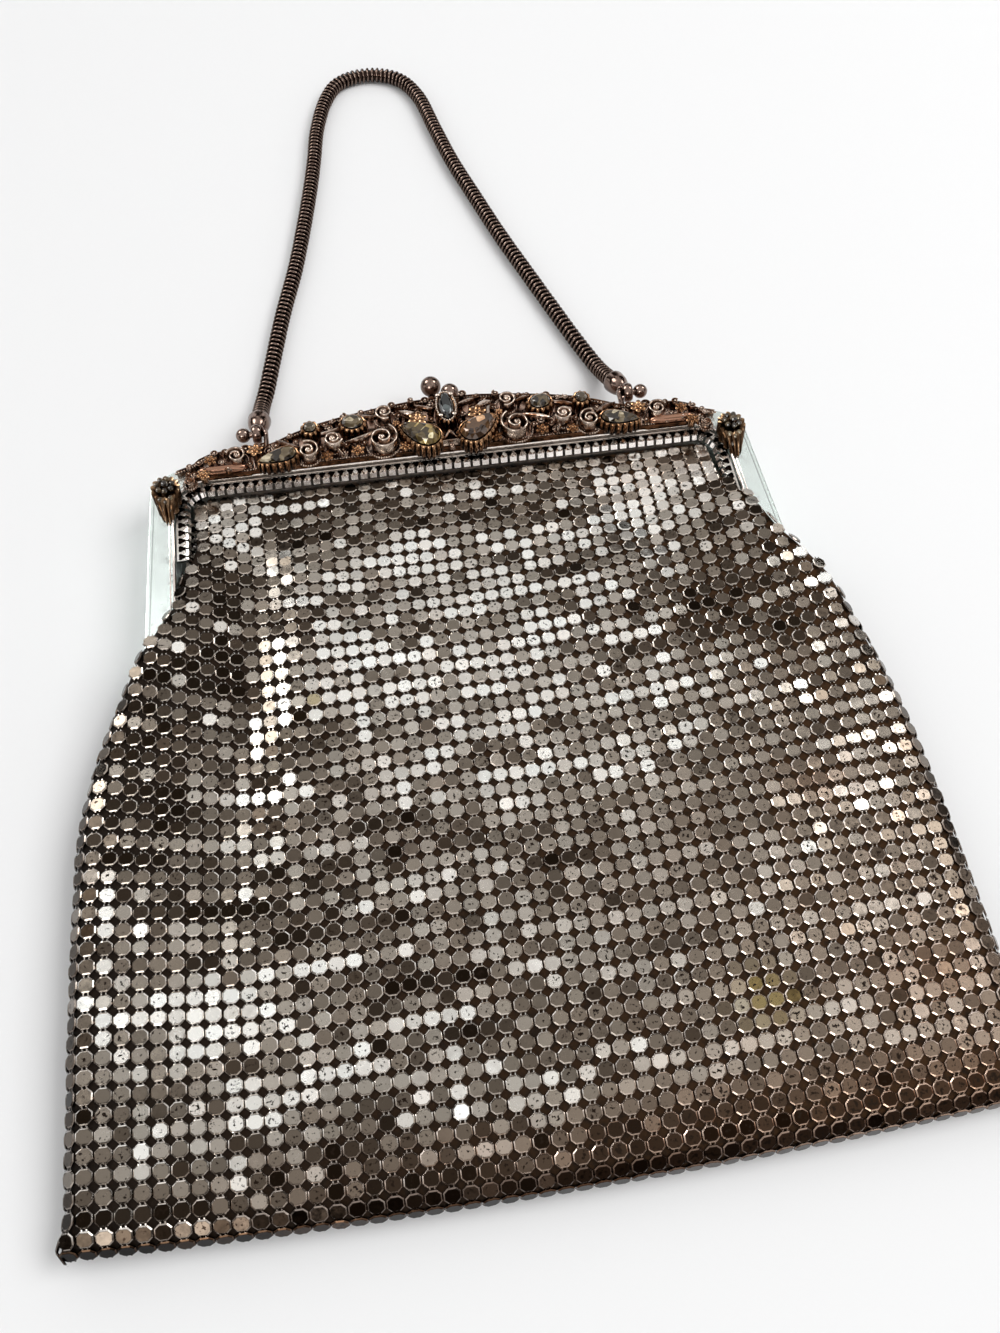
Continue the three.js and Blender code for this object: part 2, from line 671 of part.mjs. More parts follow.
// Base plate of the casting, which follows the arch and is pierced inside the scrolls
function castPlate() {
  const edge = PLATE_TURNS.map((across) => {
    const x = across * frameHalfWidth;
    return [x, archY(x) - castEdge];
  });
  const right = [onPlate(0.88, castBase / archRise), ...edge];
  const tab = CORNER_TAB.map(({ across, up }) => onPlate(across, up));
  const outlines = [[...right, ...mirrored(right)], tab, mirrored(tab)];
  const plate = union(outlines.map((outline) => prism(outline, castFootZ, castFootZ + castBase)));
  const pierced = [];
  for (const { across, up, radius } of SCROLLS) {
    for (const side of [-1, 1]) {
      const [x, y] = onPlate(side * across, up);
      const reach = radius * archRise - castWall;
      pierced.push(prism(ellipse(x, y, reach, reach, 6), castFootZ - 1, castFootZ + castBase + 1));
    }
  }
  return without(plate, pierced);
}

function plain(row) {
  return row;
}

function mirror(row) {
  return { ...row, across: -row.across, turn: 180 - (row.turn ?? 0), curl: 180 - (row.curl ?? 0), hand: -1 };
}

function filigree() {
  const parts = [castPlate(), triangleSetting(), gallery(NAVETTE)];
  for (const side of [plain, mirror]) {
    parts.push(...SCROLLS.map((row) => scroll(side(row))));
    parts.push(...ROSETTES.map((row) => rosette(side(row))));
    parts.push(...LEAVES.map((row) => leaf(side(row))));
    parts.push(...STONES.map((row) => gallery(side(row))));
  }
  const stones = [NAVETTE, ...STONES, ...STONES.map(mirror)];
  return without(union(parts), [...stones.map(stoneRoom), shellRoom(plain), shellRoom(mirror)]);
}

// Space that the casting leaves for a corner shell
function shellRoom(side) {
  const room = ribDepth + clearance;
  const outlines = [stoneOutline(side(SHELL), galleryRim + room, 12), stoneOutline(side(SHELL_APRON), room, 12)];
  return union(outlines.map((outline) => prism(outline, castFootZ - 1, castFootZ + 3 * castHeight)));
}

function cornerShell(side) {
  const count = galleryPoints(SHELL_APRON);
  const high = castFootZ + SHELL.top * castHeight;
  const ring = (row, grow, z) => ribbed(stoneOutline(side(row), grow, count), ribDepth).map(([x, y]) => [x, y, z]);
  const fluted = loft([ring(SHELL_APRON, 0, castFootZ), ring(SHELL, galleryRim, high)]);
  return fluted.subtract(stoneRoom(side(SHELL)));
}

// Clasp, posts and chain

const postFootHalf = 3;
const postFootThickness = 1;
const postFootY = archY(postX - postFootHalf) + clearance;

function claspBall(side, radius, rise, z, footZ) {
  const topY = archTopY + clearance;
  const x = side * claspSpread;
  const centre = [x, archTopY + rise, z];
  const foot = box(
    [x - claspFootHalf, x + claspFootHalf],
    [topY, topY + 0.9],
    [footZ - claspFootHalf, footZ + claspFootHalf],
  );
  const stem = rod([x, topY + 0.8, footZ], centre, 1.1, 1, 8);
  return union([foot, stem, ball(radius, ...centre)]);
}

// The stud's middle, on which a chain end hangs
function studPlace(side) {
  return new THREE.Vector3(side * postX, postFootY + postRise, studHeight);
}

function chainPost(side) {
  const { x: footX, y: studY } = studPlace(side);
  const wallY = postFootY;
  const lugX = side * (postX - eyeWidth / 2 - clearance);
  const across = (a, b) => [Math.min(a, b), Math.max(a, b)];
  const lugXs = across(lugX - side * lugWidth, lugX);
  const foot = box(
    across(lugX - side * lugWidth, footX + side * postFootHalf),
    [wallY, wallY + postFootThickness],
    [studHeight - postFootHalf, studHeight + postFootHalf / 2],
  );
  const lug = box(lugXs, [wallY, studY + 1], [studHeight - 1.5, studHeight + 1.2]);
  const knobX = side * (postX + eyeWidth / 2 + clearance + knobRadius);
  const stud = rod([lugX - (side * lugWidth) / 2, studY, studHeight], [knobX, studY, studHeight], studRadius);
  return union([foot, lug, stud, ball(knobRadius, knobX, studY, studHeight)]);
}

// Middle line of the chain on the table, chosen by hand, from the left end to the right end
const CHAIN_ROUTE = [
  [-47.6, 117.5, 3.4], [-46, 125, 2.3], [-44, 134.3, 2.2], [-39.8, 153.1, 2.2], [-35.1, 171, 2.2],
  [-31.5, 187.8, 2.2], [-28.1, 205.5, 2.2], [-25.8, 219.5, 2.2], [-23.7, 234.1, 2.2], [-19.9, 248.2, 2.2],
  [-14.6, 257, 2.2], [-5, 260.3, 2.2], [4.6, 256.8, 2.2], [10.3, 246.6, 2.2], [13.6, 229.5, 2.2],
  [16.9, 213, 2.2], [21.6, 195.1, 2.2], [26.5, 177.1, 2.2], [31.4, 161.2, 2.2], [36.2, 145.9, 2.2],
  [39.9, 134.2, 2.2], [43, 125, 2.3], [45.3, 117.5, 3.4],
];

function routeEnd(side) {
  return new THREE.Vector3(...(side < 0 ? CHAIN_ROUTE[0] : CHAIN_ROUTE[CHAIN_ROUTE.length - 1]));
}

// Where a cap ends and the chain leaves it
function capEnd(side) {
  const stud = studPlace(side);
  const along = routeEnd(side).sub(stud).normalize();
  return { stud, along, end: stud.clone().addScaledVector(along, capLength) };
}

function chainEnd(side) {
  const { stud, along, end } = capEnd(side);
  const bore = chainRadius + 1.5 * clearance;
  const eye = rod(
    [stud.x - eyeWidth / 2, stud.y, stud.z],
    [stud.x + eyeWidth / 2, stud.y, stud.z],
    studRadius + clearance + 1,
    studRadius + clearance + 1,
    12,
  );
  const down = (distance) => stud.clone().addScaledVector(along, distance).toArray();
  const neck = rod(down(studRadius + 2 * clearance), down(capLength * 0.5), bore * 0.35, bore + capWall, 12);
  const sleeve = rod(down(capLength * 0.5), end.toArray(), bore + capWall, bore + capWall, 12);
  const socket = down(capLength * 0.55);
  const past = end.clone().addScaledVector(along, 1);
  const hole = rod(
    [stud.x - eyeWidth, stud.y, stud.z],
    [stud.x + eyeWidth, stud.y, stud.z],
    studRadius + clearance,
  );
  return without(union([eye, neck, sleeve]), [hole, rod(socket, past.toArray(), bore, bore, 12)]);
}

function snakeChain() {
  const ends = [-1, 1].map((side) => {
    const { stud, along } = capEnd(side);
    return stud.addScaledVector(along, capLength * 0.55 + clearance);
  });
  const lying = CHAIN_ROUTE.map((point) => new THREE.Vector3(...point));
  const route = new THREE.CatmullRomCurve3([ends[0], ...lying, ends[1]], false, 'centripetal');
  const section = new THREE.Shape(ellipse(0, 0, chainRadius, chainRadius, 6, Math.PI / 6)
    .map(([x, y]) => new THREE.Vector2(x, y)));
  return solidOf(new THREE.ExtrudeGeometry(section, { extrudePath: route, steps: 38, bevelEnabled: false }));
}

// Materials

const silver = new THREE.MeshStandardMaterial({ color: 0xd9dbd8, metalness: 1, roughness: 0.22 });
const meshMetal = new THREE.MeshStandardMaterial({ color: 0xb9b0a6, metalness: 1, roughness: 0.25 });
const bronze = new THREE.MeshStandardMaterial({ color: 0x7a5641, metalness: 1, roughness: 0.35 });
const chainBronze = new THREE.MeshStandardMaterial({ color: 0x6b4c3f, metalness: 1, roughness: 0.35 });
const cloth = new THREE.MeshStandardMaterial({ color: 0x4a2c1c, metalness: 0, roughness: 0.9 });
const smokyGlass = new THREE.MeshStandardMaterial({ color: 0x8a7a66, metalness: 0, roughness: 0.08 });
const blackGlass = new THREE.MeshStandardMaterial({ color: 0x1d2224, metalness: 0, roughness: 0.06 });

// The purse

const purse = new THREE.Group();

function addPiece(name, solid, material) {
  const mesh = new THREE.Mesh(geometryOf(solid), material);
  mesh.name = name;
  purse.add(mesh);
}

addPiece('front_frame', frontFrame(), silver);
addPiece('back_frame', backFrame(), silver);
addPiece('front_mesh_strip', meshStrip(frontFaceZ - frontStripRecess, 1), silver);
addPiece('back_mesh_strip', meshStrip(backStripRecess + stripThickness, backHoleStep), silver);
addPiece('mesh_pouch', meshPouch(), meshMetal);
addPiece('lining', lining(), cloth);
addPiece('filigree', filigree(), bronze);
addPiece('navette_stone', cutStone(NAVETTE), blackGlass);
for (const [side, label, turned] of [[-1, 'left', mirror], [1, 'right', plain]]) {
  addPiece(`hinge_pin_${label}`, hingePin(side), silver);
  addPiece(`corner_shell_${label}`, cornerShell(turned), bronze);
  for (const stone of [...STONES, SHELL]) {
    addPiece(`${stone.name}_${label}`, cutStone(turned(stone)), smokyGlass);
  }
  addPiece(`chain_post_${label}`, chainPost(side), bronze);
  addPiece(`chain_end_${label}`, chainEnd(side), chainBronze);
}
const frontBall = claspBall(1, frontBallRadius, frontBallRise, halfDepth * 1.7, halfDepth * 1.5);
const backBall = claspBall(-1, backBallRadius, backBallRise, halfDepth * 1.5, halfDepth * 0.6);
addPiece('clasp_ball_front', frontBall, bronze);
addPiece('clasp_ball_back', backBall, bronze);
addPiece('snake_chain', snakeChain(), chainBronze);

export default purse;
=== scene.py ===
# A metal mesh purse lying closed on a pale table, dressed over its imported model.
# Tables and functions work in millimetres, as the model's source does. Blender's own data is in metres.
import math

import bmesh
import bpy
import numpy as np
from mathutils import Matrix, Vector


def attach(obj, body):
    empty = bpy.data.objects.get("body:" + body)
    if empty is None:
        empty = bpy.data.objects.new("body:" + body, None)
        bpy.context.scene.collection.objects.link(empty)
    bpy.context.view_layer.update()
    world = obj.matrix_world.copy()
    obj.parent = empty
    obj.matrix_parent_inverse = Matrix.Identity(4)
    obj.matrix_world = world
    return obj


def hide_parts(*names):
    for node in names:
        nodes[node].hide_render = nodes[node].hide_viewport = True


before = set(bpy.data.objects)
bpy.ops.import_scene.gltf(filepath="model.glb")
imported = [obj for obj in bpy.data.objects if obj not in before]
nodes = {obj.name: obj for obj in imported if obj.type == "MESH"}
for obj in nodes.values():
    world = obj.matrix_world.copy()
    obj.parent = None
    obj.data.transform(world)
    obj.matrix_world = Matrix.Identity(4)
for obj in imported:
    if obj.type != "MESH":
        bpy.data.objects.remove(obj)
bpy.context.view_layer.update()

MM = 0.001
BODY = "root"

# Sizes shared with the model
FRAME_HALF_WIDTH = 76
LIP_Y = 86.7
ARCH_RISE = 19.3
LEG_WIDTH = 6.6
LEG_SPLAY = 1
LEG_TIP_Y = 39
INNER_RADIUS = 8
HALF_DEPTH = 6.3
CLEARANCE = 0.3
FRONT_Z = 2 * HALF_DEPTH + CLEARANCE
CAST_FOOT_Z = FRONT_Z + 0.6
CAST_HEIGHT = 4.4
POUCH_BOTTOM_Y = -84.8
POUCH_MOUTH_Y = 83.3
POUCH_LENGTH = POUCH_MOUTH_Y - POUCH_BOTTOM_Y
POUCH_HALF_WIDTH = 94
POUCH_DEPTH = 12.5
TILE_PITCH = 3.5
BOTTOM_BOW = 2.6
BOW_REACH = 0.4
LEG_INNER_X = FRAME_HALF_WIDTH - LEG_WIDTH

# Sizes of the fine work, in millimetres
STRIP_PITCH = 2.35
FRONT_STRIP_Z = FRONT_Z - 0.5
BACK_STRIP_Z = 1.0
FRONT_TILE_SINK = 0.34
BACK_TILE_SINK = 0.62
LINK_DEPTH = 0.62
LINING_DEPTH = 2.2
SHEET_STEP = 3.0
SIDE_STRETCH = 1.04
CHAIN_PITCH = 1.6
CORE_RADIUS = 1.62

# Faces that turn more than this many degrees keep a sharp crease
CAST_CREASE = 48
ROUND_CREASE = 50


def table(keys, *rows):
    """Rows of named values."""
    return [dict(zip(keys.split(), row)) for row in rows]


# Camera


def set_camera():
    data = bpy.data.cameras.new("photo_camera")
    data.sensor_fit = "VERTICAL"
    data.sensor_height = 36
    data.lens = 31.69
    data.clip_start = 0.01
    data.clip_end = 20
    camera = bpy.data.objects.new("photo_camera", data)
    bpy.context.collection.objects.link(camera)
    look = Vector((0.0865, 0.4920, -0.8663)).normalized()
    right = Vector((0.9878, -0.1560, 0.0101))
    right = (right - look * right.dot(look)).normalized()
    up = right.cross(look)
    place = Matrix((right, up, -look)).transposed().to_4x4()
    place.translation = Vector((-20.7, -106.4, 242.1)) * MM
    camera.matrix_world = place
    bpy.context.scene.camera = camera
    bpy.context.scene.view_settings.view_transform = "Standard"


# Node helpers


def new_node(tree, kind, **values):
    node = tree.nodes.new(kind)
    for name, value in values.items():
        setattr(node, name, value)
    return node


def feed(tree, socket, value):
    if isinstance(value, bpy.types.NodeSocket):
        tree.links.new(value, socket)
    elif isinstance(value, tuple) and len(socket.default_value) == 4:
        socket.default_value = (*value[:3], 1)
    else:
        socket.default_value = value


def ramp(tree, factor, stops):
    node = tree.nodes.new("ShaderNodeValToRGB")
    elements = node.color_ramp.elements
    while len(elements) < len(stops):
        elements.new(1)
    for element, (place, color) in zip(elements, stops):
        element.position = place
        element.color = (*color, 1)
    feed(tree, node.inputs["Fac"], factor)
    return node.outputs["Color"]


def mix(tree, factor, first, second, blend="MIX"):
    node = new_node(tree, "ShaderNodeMix", data_type="RGBA", blend_type=blend)
    feed(tree, node.inputs[0], factor)
    feed(tree, node.inputs[6], first)
    feed(tree, node.inputs[7], second)
    return node.outputs[2]


def maths(tree, kind, first, second=0.0):
    node = new_node(tree, "ShaderNodeMath", operation=kind)
    feed(tree, node.inputs[0], first)
    feed(tree, node.inputs[1], second)
    return node.outputs[0]


def plus(tree, first, second):
    return maths(tree, "ADD", first, second)


def times(tree, first, second):
    return maths(tree, "MULTIPLY", first, second)


def axes_of(tree, vector):
    node = tree.nodes.new("ShaderNodeSeparateXYZ")
    feed(tree, node.inputs[0], vector)
    return node.outputs


def spread(tree, factor, low, high, low_to=0.0, high_to=1.0):
    node = new_node(tree, "ShaderNodeMapRange", clamp=True)
    feed(tree, node.inputs["Value"], factor)
    for name, value in (("From Min", low), ("From Max", high), ("To Min", low_to), ("To Max", high_to)):
        node.inputs[name].default_value = value
    return node.outputs["Result"]


def noise(tree, vector, scale, detail=2.0, rough=0.5):
    node = tree.nodes.new("ShaderNodeTexNoise")
    node.inputs["Scale"].default_value = scale
    node.inputs["Detail"].default_value = detail
    node.inputs["Roughness"].default_value = rough
    feed(tree, node.inputs["Vector"], vector)
    return node.outputs["Fac"]


def attribute(tree, name, output="Fac"):
    return new_node(tree, "ShaderNodeAttribute", attribute_name=name).outputs[output]


def bump(tree, height, strength, distance):
    node = tree.nodes.new("ShaderNodeBump")
    node.inputs["Strength"].default_value = strength
    node.inputs["Distance"].default_value = distance * MM
    feed(tree, node.inputs["Height"], height)
    return node.outputs["Normal"]


def material(name, base, roughness, metallic=0.0, color=None):
    made = bpy.data.materials.new(name)
    made.use_nodes = True
    made.diffuse_color = (*(color or (0.5, 0.5, 0.5)), 1)
    tree = made.node_tree
    shader = tree.nodes["Principled BSDF"]
    feed(tree, shader.inputs["Base Color"], base(tree) if callable(base) else base)
    feed(tree, shader.inputs["Roughness"], roughness(tree) if callable(roughness) else roughness)
    shader.inputs["Metallic"].default_value = metallic
    return made, tree, shader


def place(tree):
    return tree.nodes.new("ShaderNodeTexCoord").outputs["Object"]


# Room: pale table, studio light, and a brown room with bright windows for the metal to mirror


def set_room():
    scene = bpy.context.scene
    world = bpy.data.worlds.new("room")
    scene.world = world
    world.use_nodes = True
    tree = world.node_tree
    tree.nodes.clear()
    out = tree.nodes.new("ShaderNodeOutputWorld")
    way = tree.nodes.new("ShaderNodeTexCoord").outputs["Generated"]
    coarse = noise(tree, way, 2.6, 1.0, 0.4)
    fine = noise(tree, way, 11.0, 1.0, 0.5)
    both = plus(tree, times(tree, coarse, 0.7), times(tree, fine, 0.3))
    overhead = ramp(
        tree,
        both,
        (
            (0.38, (0.5, 0.48, 0.465)),
            (0.5, (0.76, 0.755, 0.745)),
            (0.6, (0.98, 0.985, 0.98)),
        ),
    )
    walls = ramp(
        tree,
        both,
        (
            (0.42, (0.012, 0.009, 0.007)),
            (0.495, (0.07, 0.055, 0.045)),
            (0.535, (0.24, 0.2, 0.17)),
            (0.555, (1.0, 1.0, 1.0)),
        ),
    )
    axes = axes_of(tree, way)
    room = mix(tree, spread(tree, axes["Z"], 0.55, 0.8), walls, overhead)
    for window, width in (
        ((-0.58, 0.49, 0.65), 0.975),
        ((0.62, 0.3, 0.72), 0.985),
        ((-0.35, -0.75, 0.56), 0.985)
    ):
        facing = new_node(tree, "ShaderNodeVectorMath", operation="DOT_PRODUCT")
        feed(tree, facing.inputs[0], way)
        facing.inputs[1].default_value = Vector(window).normalized()
        room = mix(
            tree, spread(tree, facing.outputs["Value"], width - 0.006, width + 0.004), room,
            (7.0, 7.0, 6.9)
        )
    mirrored = tree.nodes.new("ShaderNodeBackground")
    feed(tree, mirrored.inputs["Color"], room)
    mirrored.inputs["Strength"].default_value = 1.3
    plain = tree.nodes.new("ShaderNodeBackground")
    plain.inputs["Color"].default_value = (1, 1, 1, 1)
    plain.inputs["Strength"].default_value = 0.7
    choose = tree.nodes.new("ShaderNodeMixShader")
    path = tree.nodes.new("ShaderNodeLightPath")
    feed(tree, choose.inputs["Fac"], path.outputs["Is Glossy Ray"])
    feed(tree, choose.inputs[1], plain.outputs["Background"])
    feed(tree, choose.inputs[2], mirrored.outputs["Background"])
    feed(tree, out.inputs["Surface"], choose.outputs["Shader"])

    table_mesh = bpy.data.meshes.new("table")
    half = 6
    corners = [(-half, -half, 0), (half, -half, 0), (half, half, 0), (-half, half, 0)]
    table_mesh.from_pydata(corners, [], [(0, 1, 2, 3)])
    table = bpy.data.objects.new("table", table_mesh)
    bpy.context.collection.objects.link(table)
    finish, _, _ = material("pale_table", (0.86, 0.86, 0.862), 0.8)
    table_mesh.materials.append(finish)

    light = bpy.data.lights.new("soft_key", "AREA")
    light.shape = "RECTANGLE"
    light.size = 1.6
    light.size_y = 1.2
    light.energy = 29
    lamp = bpy.data.objects.new("soft_key", light)
    lamp.visible_glossy = False
    bpy.context.collection.objects.link(lamp)
    aim = Vector((1.4, -0.1, 1.75))
    lamp.location = aim
    lamp.rotation_euler = aim.to_track_quat("Z", "Y").to_euler()


# Mesh helpers


def mesh_object(name, points, faces, finish=None, smooth=True, closed=True):
    mesh = bpy.data.meshes.new(name)
    mesh.from_pydata([tuple(c * MM for c in p) for p in points], [], [tuple(f) for f in faces])
    mesh.update()
    if closed:
        work = bmesh.new()
        work.from_mesh(mesh)
        bmesh.ops.recalc_face_normals(work, faces=work.faces)
        work.to_mesh(mesh)
        work.free()
    for polygon in mesh.polygons:
        polygon.use_smooth = smooth
    made = bpy.data.objects.new(name, mesh)
    bpy.context.collection.objects.link(made)
    if finish:
        mesh.materials.append(finish)
    return made


def beside(centre, u, v, turn):
    """Place u along and v across a turned direction from a centre."""
    x = centre[0] + u * math.cos(turn) - v * math.sin(turn)
    y = centre[1] + u * math.sin(turn) + v * math.cos(turn)
    return x, y


def circle(count):
    """Even angles once round."""
    return np.linspace(0, 2 * math.pi, count + 1)[:-1]


class Shape:
    """Points and faces gathered for one piece."""

    def __init__(self):
        self.points = []
        self.faces = []

    def add(self, points, faces):
        start = len(self.points)
        self.points.extend(tuple(map(float, p)) for p in points)
        self.faces.extend(tuple(start + i for i in face) for face in faces)

    def rings(self, rings, ends=(True, True), around=True):
        """Skin over rings of equally many points."""
        count = len(rings[0])
        points = [p for ring in rings for p in ring]
        faces = []
        last = count if around else count - 1
        for r in range(len(rings) - 1):
            for i in range(last):
                j = (i + 1) % count
                faces.append((r * count + i, r * count + j, (r + 1) * count + j, (r + 1) * count + i))
        if ends[0]:
            faces.append(tuple(range(count - 1, -1, -1)))
        if ends[1]:
            first = (len(rings) - 1) * count
            faces.append(tuple(range(first, first + count)))
        self.add(points, faces)

    def lathe(self, profile, centre, along, sides=20):
        """Profile of (radius, height) turned about an axis."""
        axis = Vector(along).normalized()
        side = axis.orthogonal().normalized()
        other = axis.cross(side)
        base = Vector(centre)
        rings = []
        for radius, height in profile:
            ring = []
            for i in range(sides):
                angle = 2 * math.pi * i / sides
                ring.append(
                    base + axis * height + (side * math.cos(angle) + other * math.sin(angle)) * radius
                )
            rings.append(ring)
        self.rings(rings)

    def ball(self, centre, radii, turn=0.0, sides=10, rows=6):
        """Round or flattened ball whose radii are along, across and up."""
        if isinstance(radii, (int, float)):
            radii = (radii, radii, radii)
        rings = []
        for row in range(rows + 1):
            lift = -math.pi / 2 + math.pi * max(0.04, min(0.96, row / rows))
            ring = []
            for i in range(sides):
                angle = 2 * math.pi * i / sides
                u = radii[0] * math.cos(lift) * math.cos(angle)
                v = radii[1] * math.cos(lift) * math.sin(angle)
                ring.append((*beside(centre, u, v, turn), centre[2] + radii[2] * math.sin(lift)))
            rings.append(ring)
        self.rings(rings)

    def wall(self, path, thick, low, high, round_off=0.15):
        """Upright ribbon along a path of (x, y), with a softened top edge."""
        sections = []
        for i, (x, y) in enumerate(path):
            before = path[max(0, i - 1)]
            after = path[min(len(path) - 1, i + 1)]
            dx, dy = after[0] - before[0], after[1] - before[1]
            size = math.hypot(dx, dy) or 1
            nx, ny = -dy / size, dx / size
            half = thick / 2
            outline = (
                (-half, low),
                (-half, high - round_off),
                (-half * 0.4, high),
                (half * 0.4, high),
                (half, high - round_off),
                (half, low)
            )
            sections.append([(x + nx * across, y + ny * across, z) for across, z in outline])
        self.rings(sections)

    def object(self, name, finish, smooth=True, closed=True):
        return mesh_object(name, self.points, self.faces, finish, smooth, closed)


def soften(piece, width):
    """Bevels the edges of a piece and keeps its flats flat."""
    bevel = piece.modifiers.new("soft_edges", "BEVEL")
    bevel.width = width * MM
    bevel.segments = 3
    bevel.limit_method = "ANGLE"
    bevel.angle_limit = math.radians(30)
    bevel.harden_normals = True


def store(mesh, name, values):
    """Keeps one number per point for the material."""
    mesh.attributes.new(name, "FLOAT", "POINT").data.foreach_set("value", np.asarray(values, float))


def smooth_by_angle(piece, degrees=CAST_CREASE):
    """Smooth faces with sharp creases where they turn more than this."""
    work = bmesh.new()
    work.from_mesh(piece.data)
    limit = math.radians(degrees)
    for edge in work.edges:
        edge.smooth = len(edge.link_faces) == 2 and edge.calc_face_angle(0) < limit
    work.to_mesh(piece.data)
    work.free()
    return piece


def mark_crests(piece):
    """Stores how far each point stands out from its neighbours: crests rub bright, hollows stay dark."""
    work = bmesh.new()
    work.from_mesh(piece.data)
    work.normal_update()
    crests = []
    for vert in work.verts:
        total = 0.0
        for edge in vert.link_edges:
            way = edge.other_vert(vert).co - vert.co
            total -= vert.normal.dot(way) / max(way.length, 1e-9)
        crests.append(0.5 + total / max(len(vert.link_edges), 1))
    work.free()
    store(piece.data, "crest", crests)
    return piece


def applied(piece):
    """The piece with its modifiers turned into plain mesh."""
    ready = piece.evaluated_get(bpy.context.evaluated_depsgraph_get())
    mesh = bpy.data.meshes.new_from_object(ready)
    piece.modifiers.clear()
    old = piece.data
    piece.data = mesh
    bpy.data.meshes.remove(old)
    return piece


def hermite(x, xs, ys):
    """Smooth curve through a table's points, flat beyond its ends."""
    xs = np.asarray(xs, float)
    ys = np.asarray(ys, float)
    slopes = np.gradient(ys, xs)
    x = np.clip(x, xs[0], xs[-1])
    i = np.clip(np.searchsorted(xs, x) - 1, 0, len(xs) - 2)
    step = xs[i + 1] - xs[i]
    t = (x - xs[i]) / step
    return (
        ys[i] * (1 + 2 * t) * (1 - t) ** 2
        + slopes[i] * step * t * (1 - t) ** 2
        + ys[i + 1] * t * t * (3 - 2 * t)
        + slopes[i + 1] * step * t * t * (t - 1)
    )


# Repeats: one tree sets a small unit on every point of a mesh, turned as its attributes say and sized at
# random within a given spread


def repeat_tree():
    tree = bpy.data.node_groups.new("units_on_points", "GeometryNodeTree")
    tree.is_modifier = True
    face = tree.interface
    face.new_socket("Geometry", in_out="INPUT", socket_type="NodeSocketGeometry")
    face.new_socket("Unit", in_out="INPUT", socket_type="NodeSocketObject")
    face.new_socket("Unit size", in_out="INPUT", socket_type="NodeSocketFloat")
    face.new_socket("Size spread", in_out="INPUT", socket_type="NodeSocketFloat")
    face.new_socket("Seed", in_out="INPUT", socket_type="NodeSocketInt")
    face.new_socket("Finish", in_out="INPUT", socket_type="NodeSocketMaterial")
    face.new_socket("Geometry", in_out="OUTPUT", socket_type="NodeSocketGeometry")
    given = tree.nodes.new("NodeGroupInput").outputs
    result = tree.nodes.new("NodeGroupOutput")
    unit = new_node(tree, "GeometryNodeObjectInfo", transform_space="ORIGINAL")
    feed(tree, unit.inputs["Object"], given["Unit"])
    turn = new_node(tree, "GeometryNodeInputNamedAttribute", data_type="FLOAT_VECTOR")
    turn.inputs["Name"].default_value = "turn"
    to_turn = tree.nodes.new("FunctionNodeEulerToRotation")
    feed(tree, to_turn.inputs[0], turn.outputs["Attribute"])
    chance = new_node(tree, "FunctionNodeRandomValue", data_type="FLOAT")
    low = new_node(tree, "ShaderNodeMath", operation="SUBTRACT")
    high = new_node(tree, "ShaderNodeMath", operation="ADD")
    for node in (low, high):
        feed(tree, node.inputs[0], given["Unit size"])
        feed(tree, node.inputs[1], given["Size spread"])
    feed(tree, chance.inputs[2], low.outputs[0])
    feed(tree, chance.inputs[3], high.outputs[0])
    feed(tree, chance.inputs["Seed"], given["Seed"])
    put = tree.nodes.new("GeometryNodeInstanceOnPoints")
    feed(tree, put.inputs["Points"], given["Geometry"])
    feed(tree, put.inputs["Instance"], unit.outputs["Geometry"])
    feed(tree, put.inputs["Rotation"], to_turn.outputs[0])
    feed(tree, put.inputs["Scale"], chance.outputs[1])
    real = tree.nodes.new("GeometryNodeRealizeInstances")
    feed(tree, real.inputs[0], put.outputs[0])
    paint = tree.nodes.new("GeometryNodeSetMaterial")
    feed(tree, paint.inputs["Geometry"], real.outputs[0])
    feed(tree, paint.inputs["Material"], given["Finish"])
    feed(tree, result.inputs[0], paint.outputs[0])
    return tree


REPEAT = repeat_tree()


def repeat(name, unit, points, turns, finish, facts=None, size=1.0, size_spread=0.0, seed=1):
    """Copies of unit on points, each with its own turn and its own facts for the material."""
    mesh = bpy.data.meshes.new(name)
    mesh.from_pydata([tuple(c * MM for c in p) for p in points], [], [])
    values = mesh.attributes.new("turn", "FLOAT_VECTOR", "POINT")
    values.data.foreach_set("vector", np.asarray(turns, float).ravel())
    for key, column in (facts or {}).items():
        store(mesh, key, column)
    made = bpy.data.objects.new(name, mesh)
    bpy.context.collection.objects.link(made)
    modifier = made.modifiers.new("repeat", "NODES")
    modifier.node_group = REPEAT
    inputs = {
        item.name: item.identifier
        for item in REPEAT.interface.items_tree
        if item.in_out == "INPUT"
    }
    modifier[inputs["Unit"]] = unit
    modifier[inputs["Unit size"]] = size
    modifier[inputs["Size spread"]] = size_spread
    modifier[inputs["Seed"]] = seed
    modifier[inputs["Finish"]] = finish
    applied(made)
    if "turn" in made.data.attributes:
        made.data.attributes.remove(made.data.attributes["turn"])
    return made


def turn_of(forward, out):
    """Euler turn that lays a unit's X along forward and its Z along out."""
    z = Vector(out).normalized()
    x = Vector(forward)
    x = (x - z * x.dot(z)).normalized()
    y = z.cross(x)
    return tuple(Matrix((x, y, z)).transposed().to_euler())


def drop(unit):
    mesh = unit.data
    bpy.data.objects.remove(unit)
    bpy.data.meshes.remove(mesh)


# Finishes


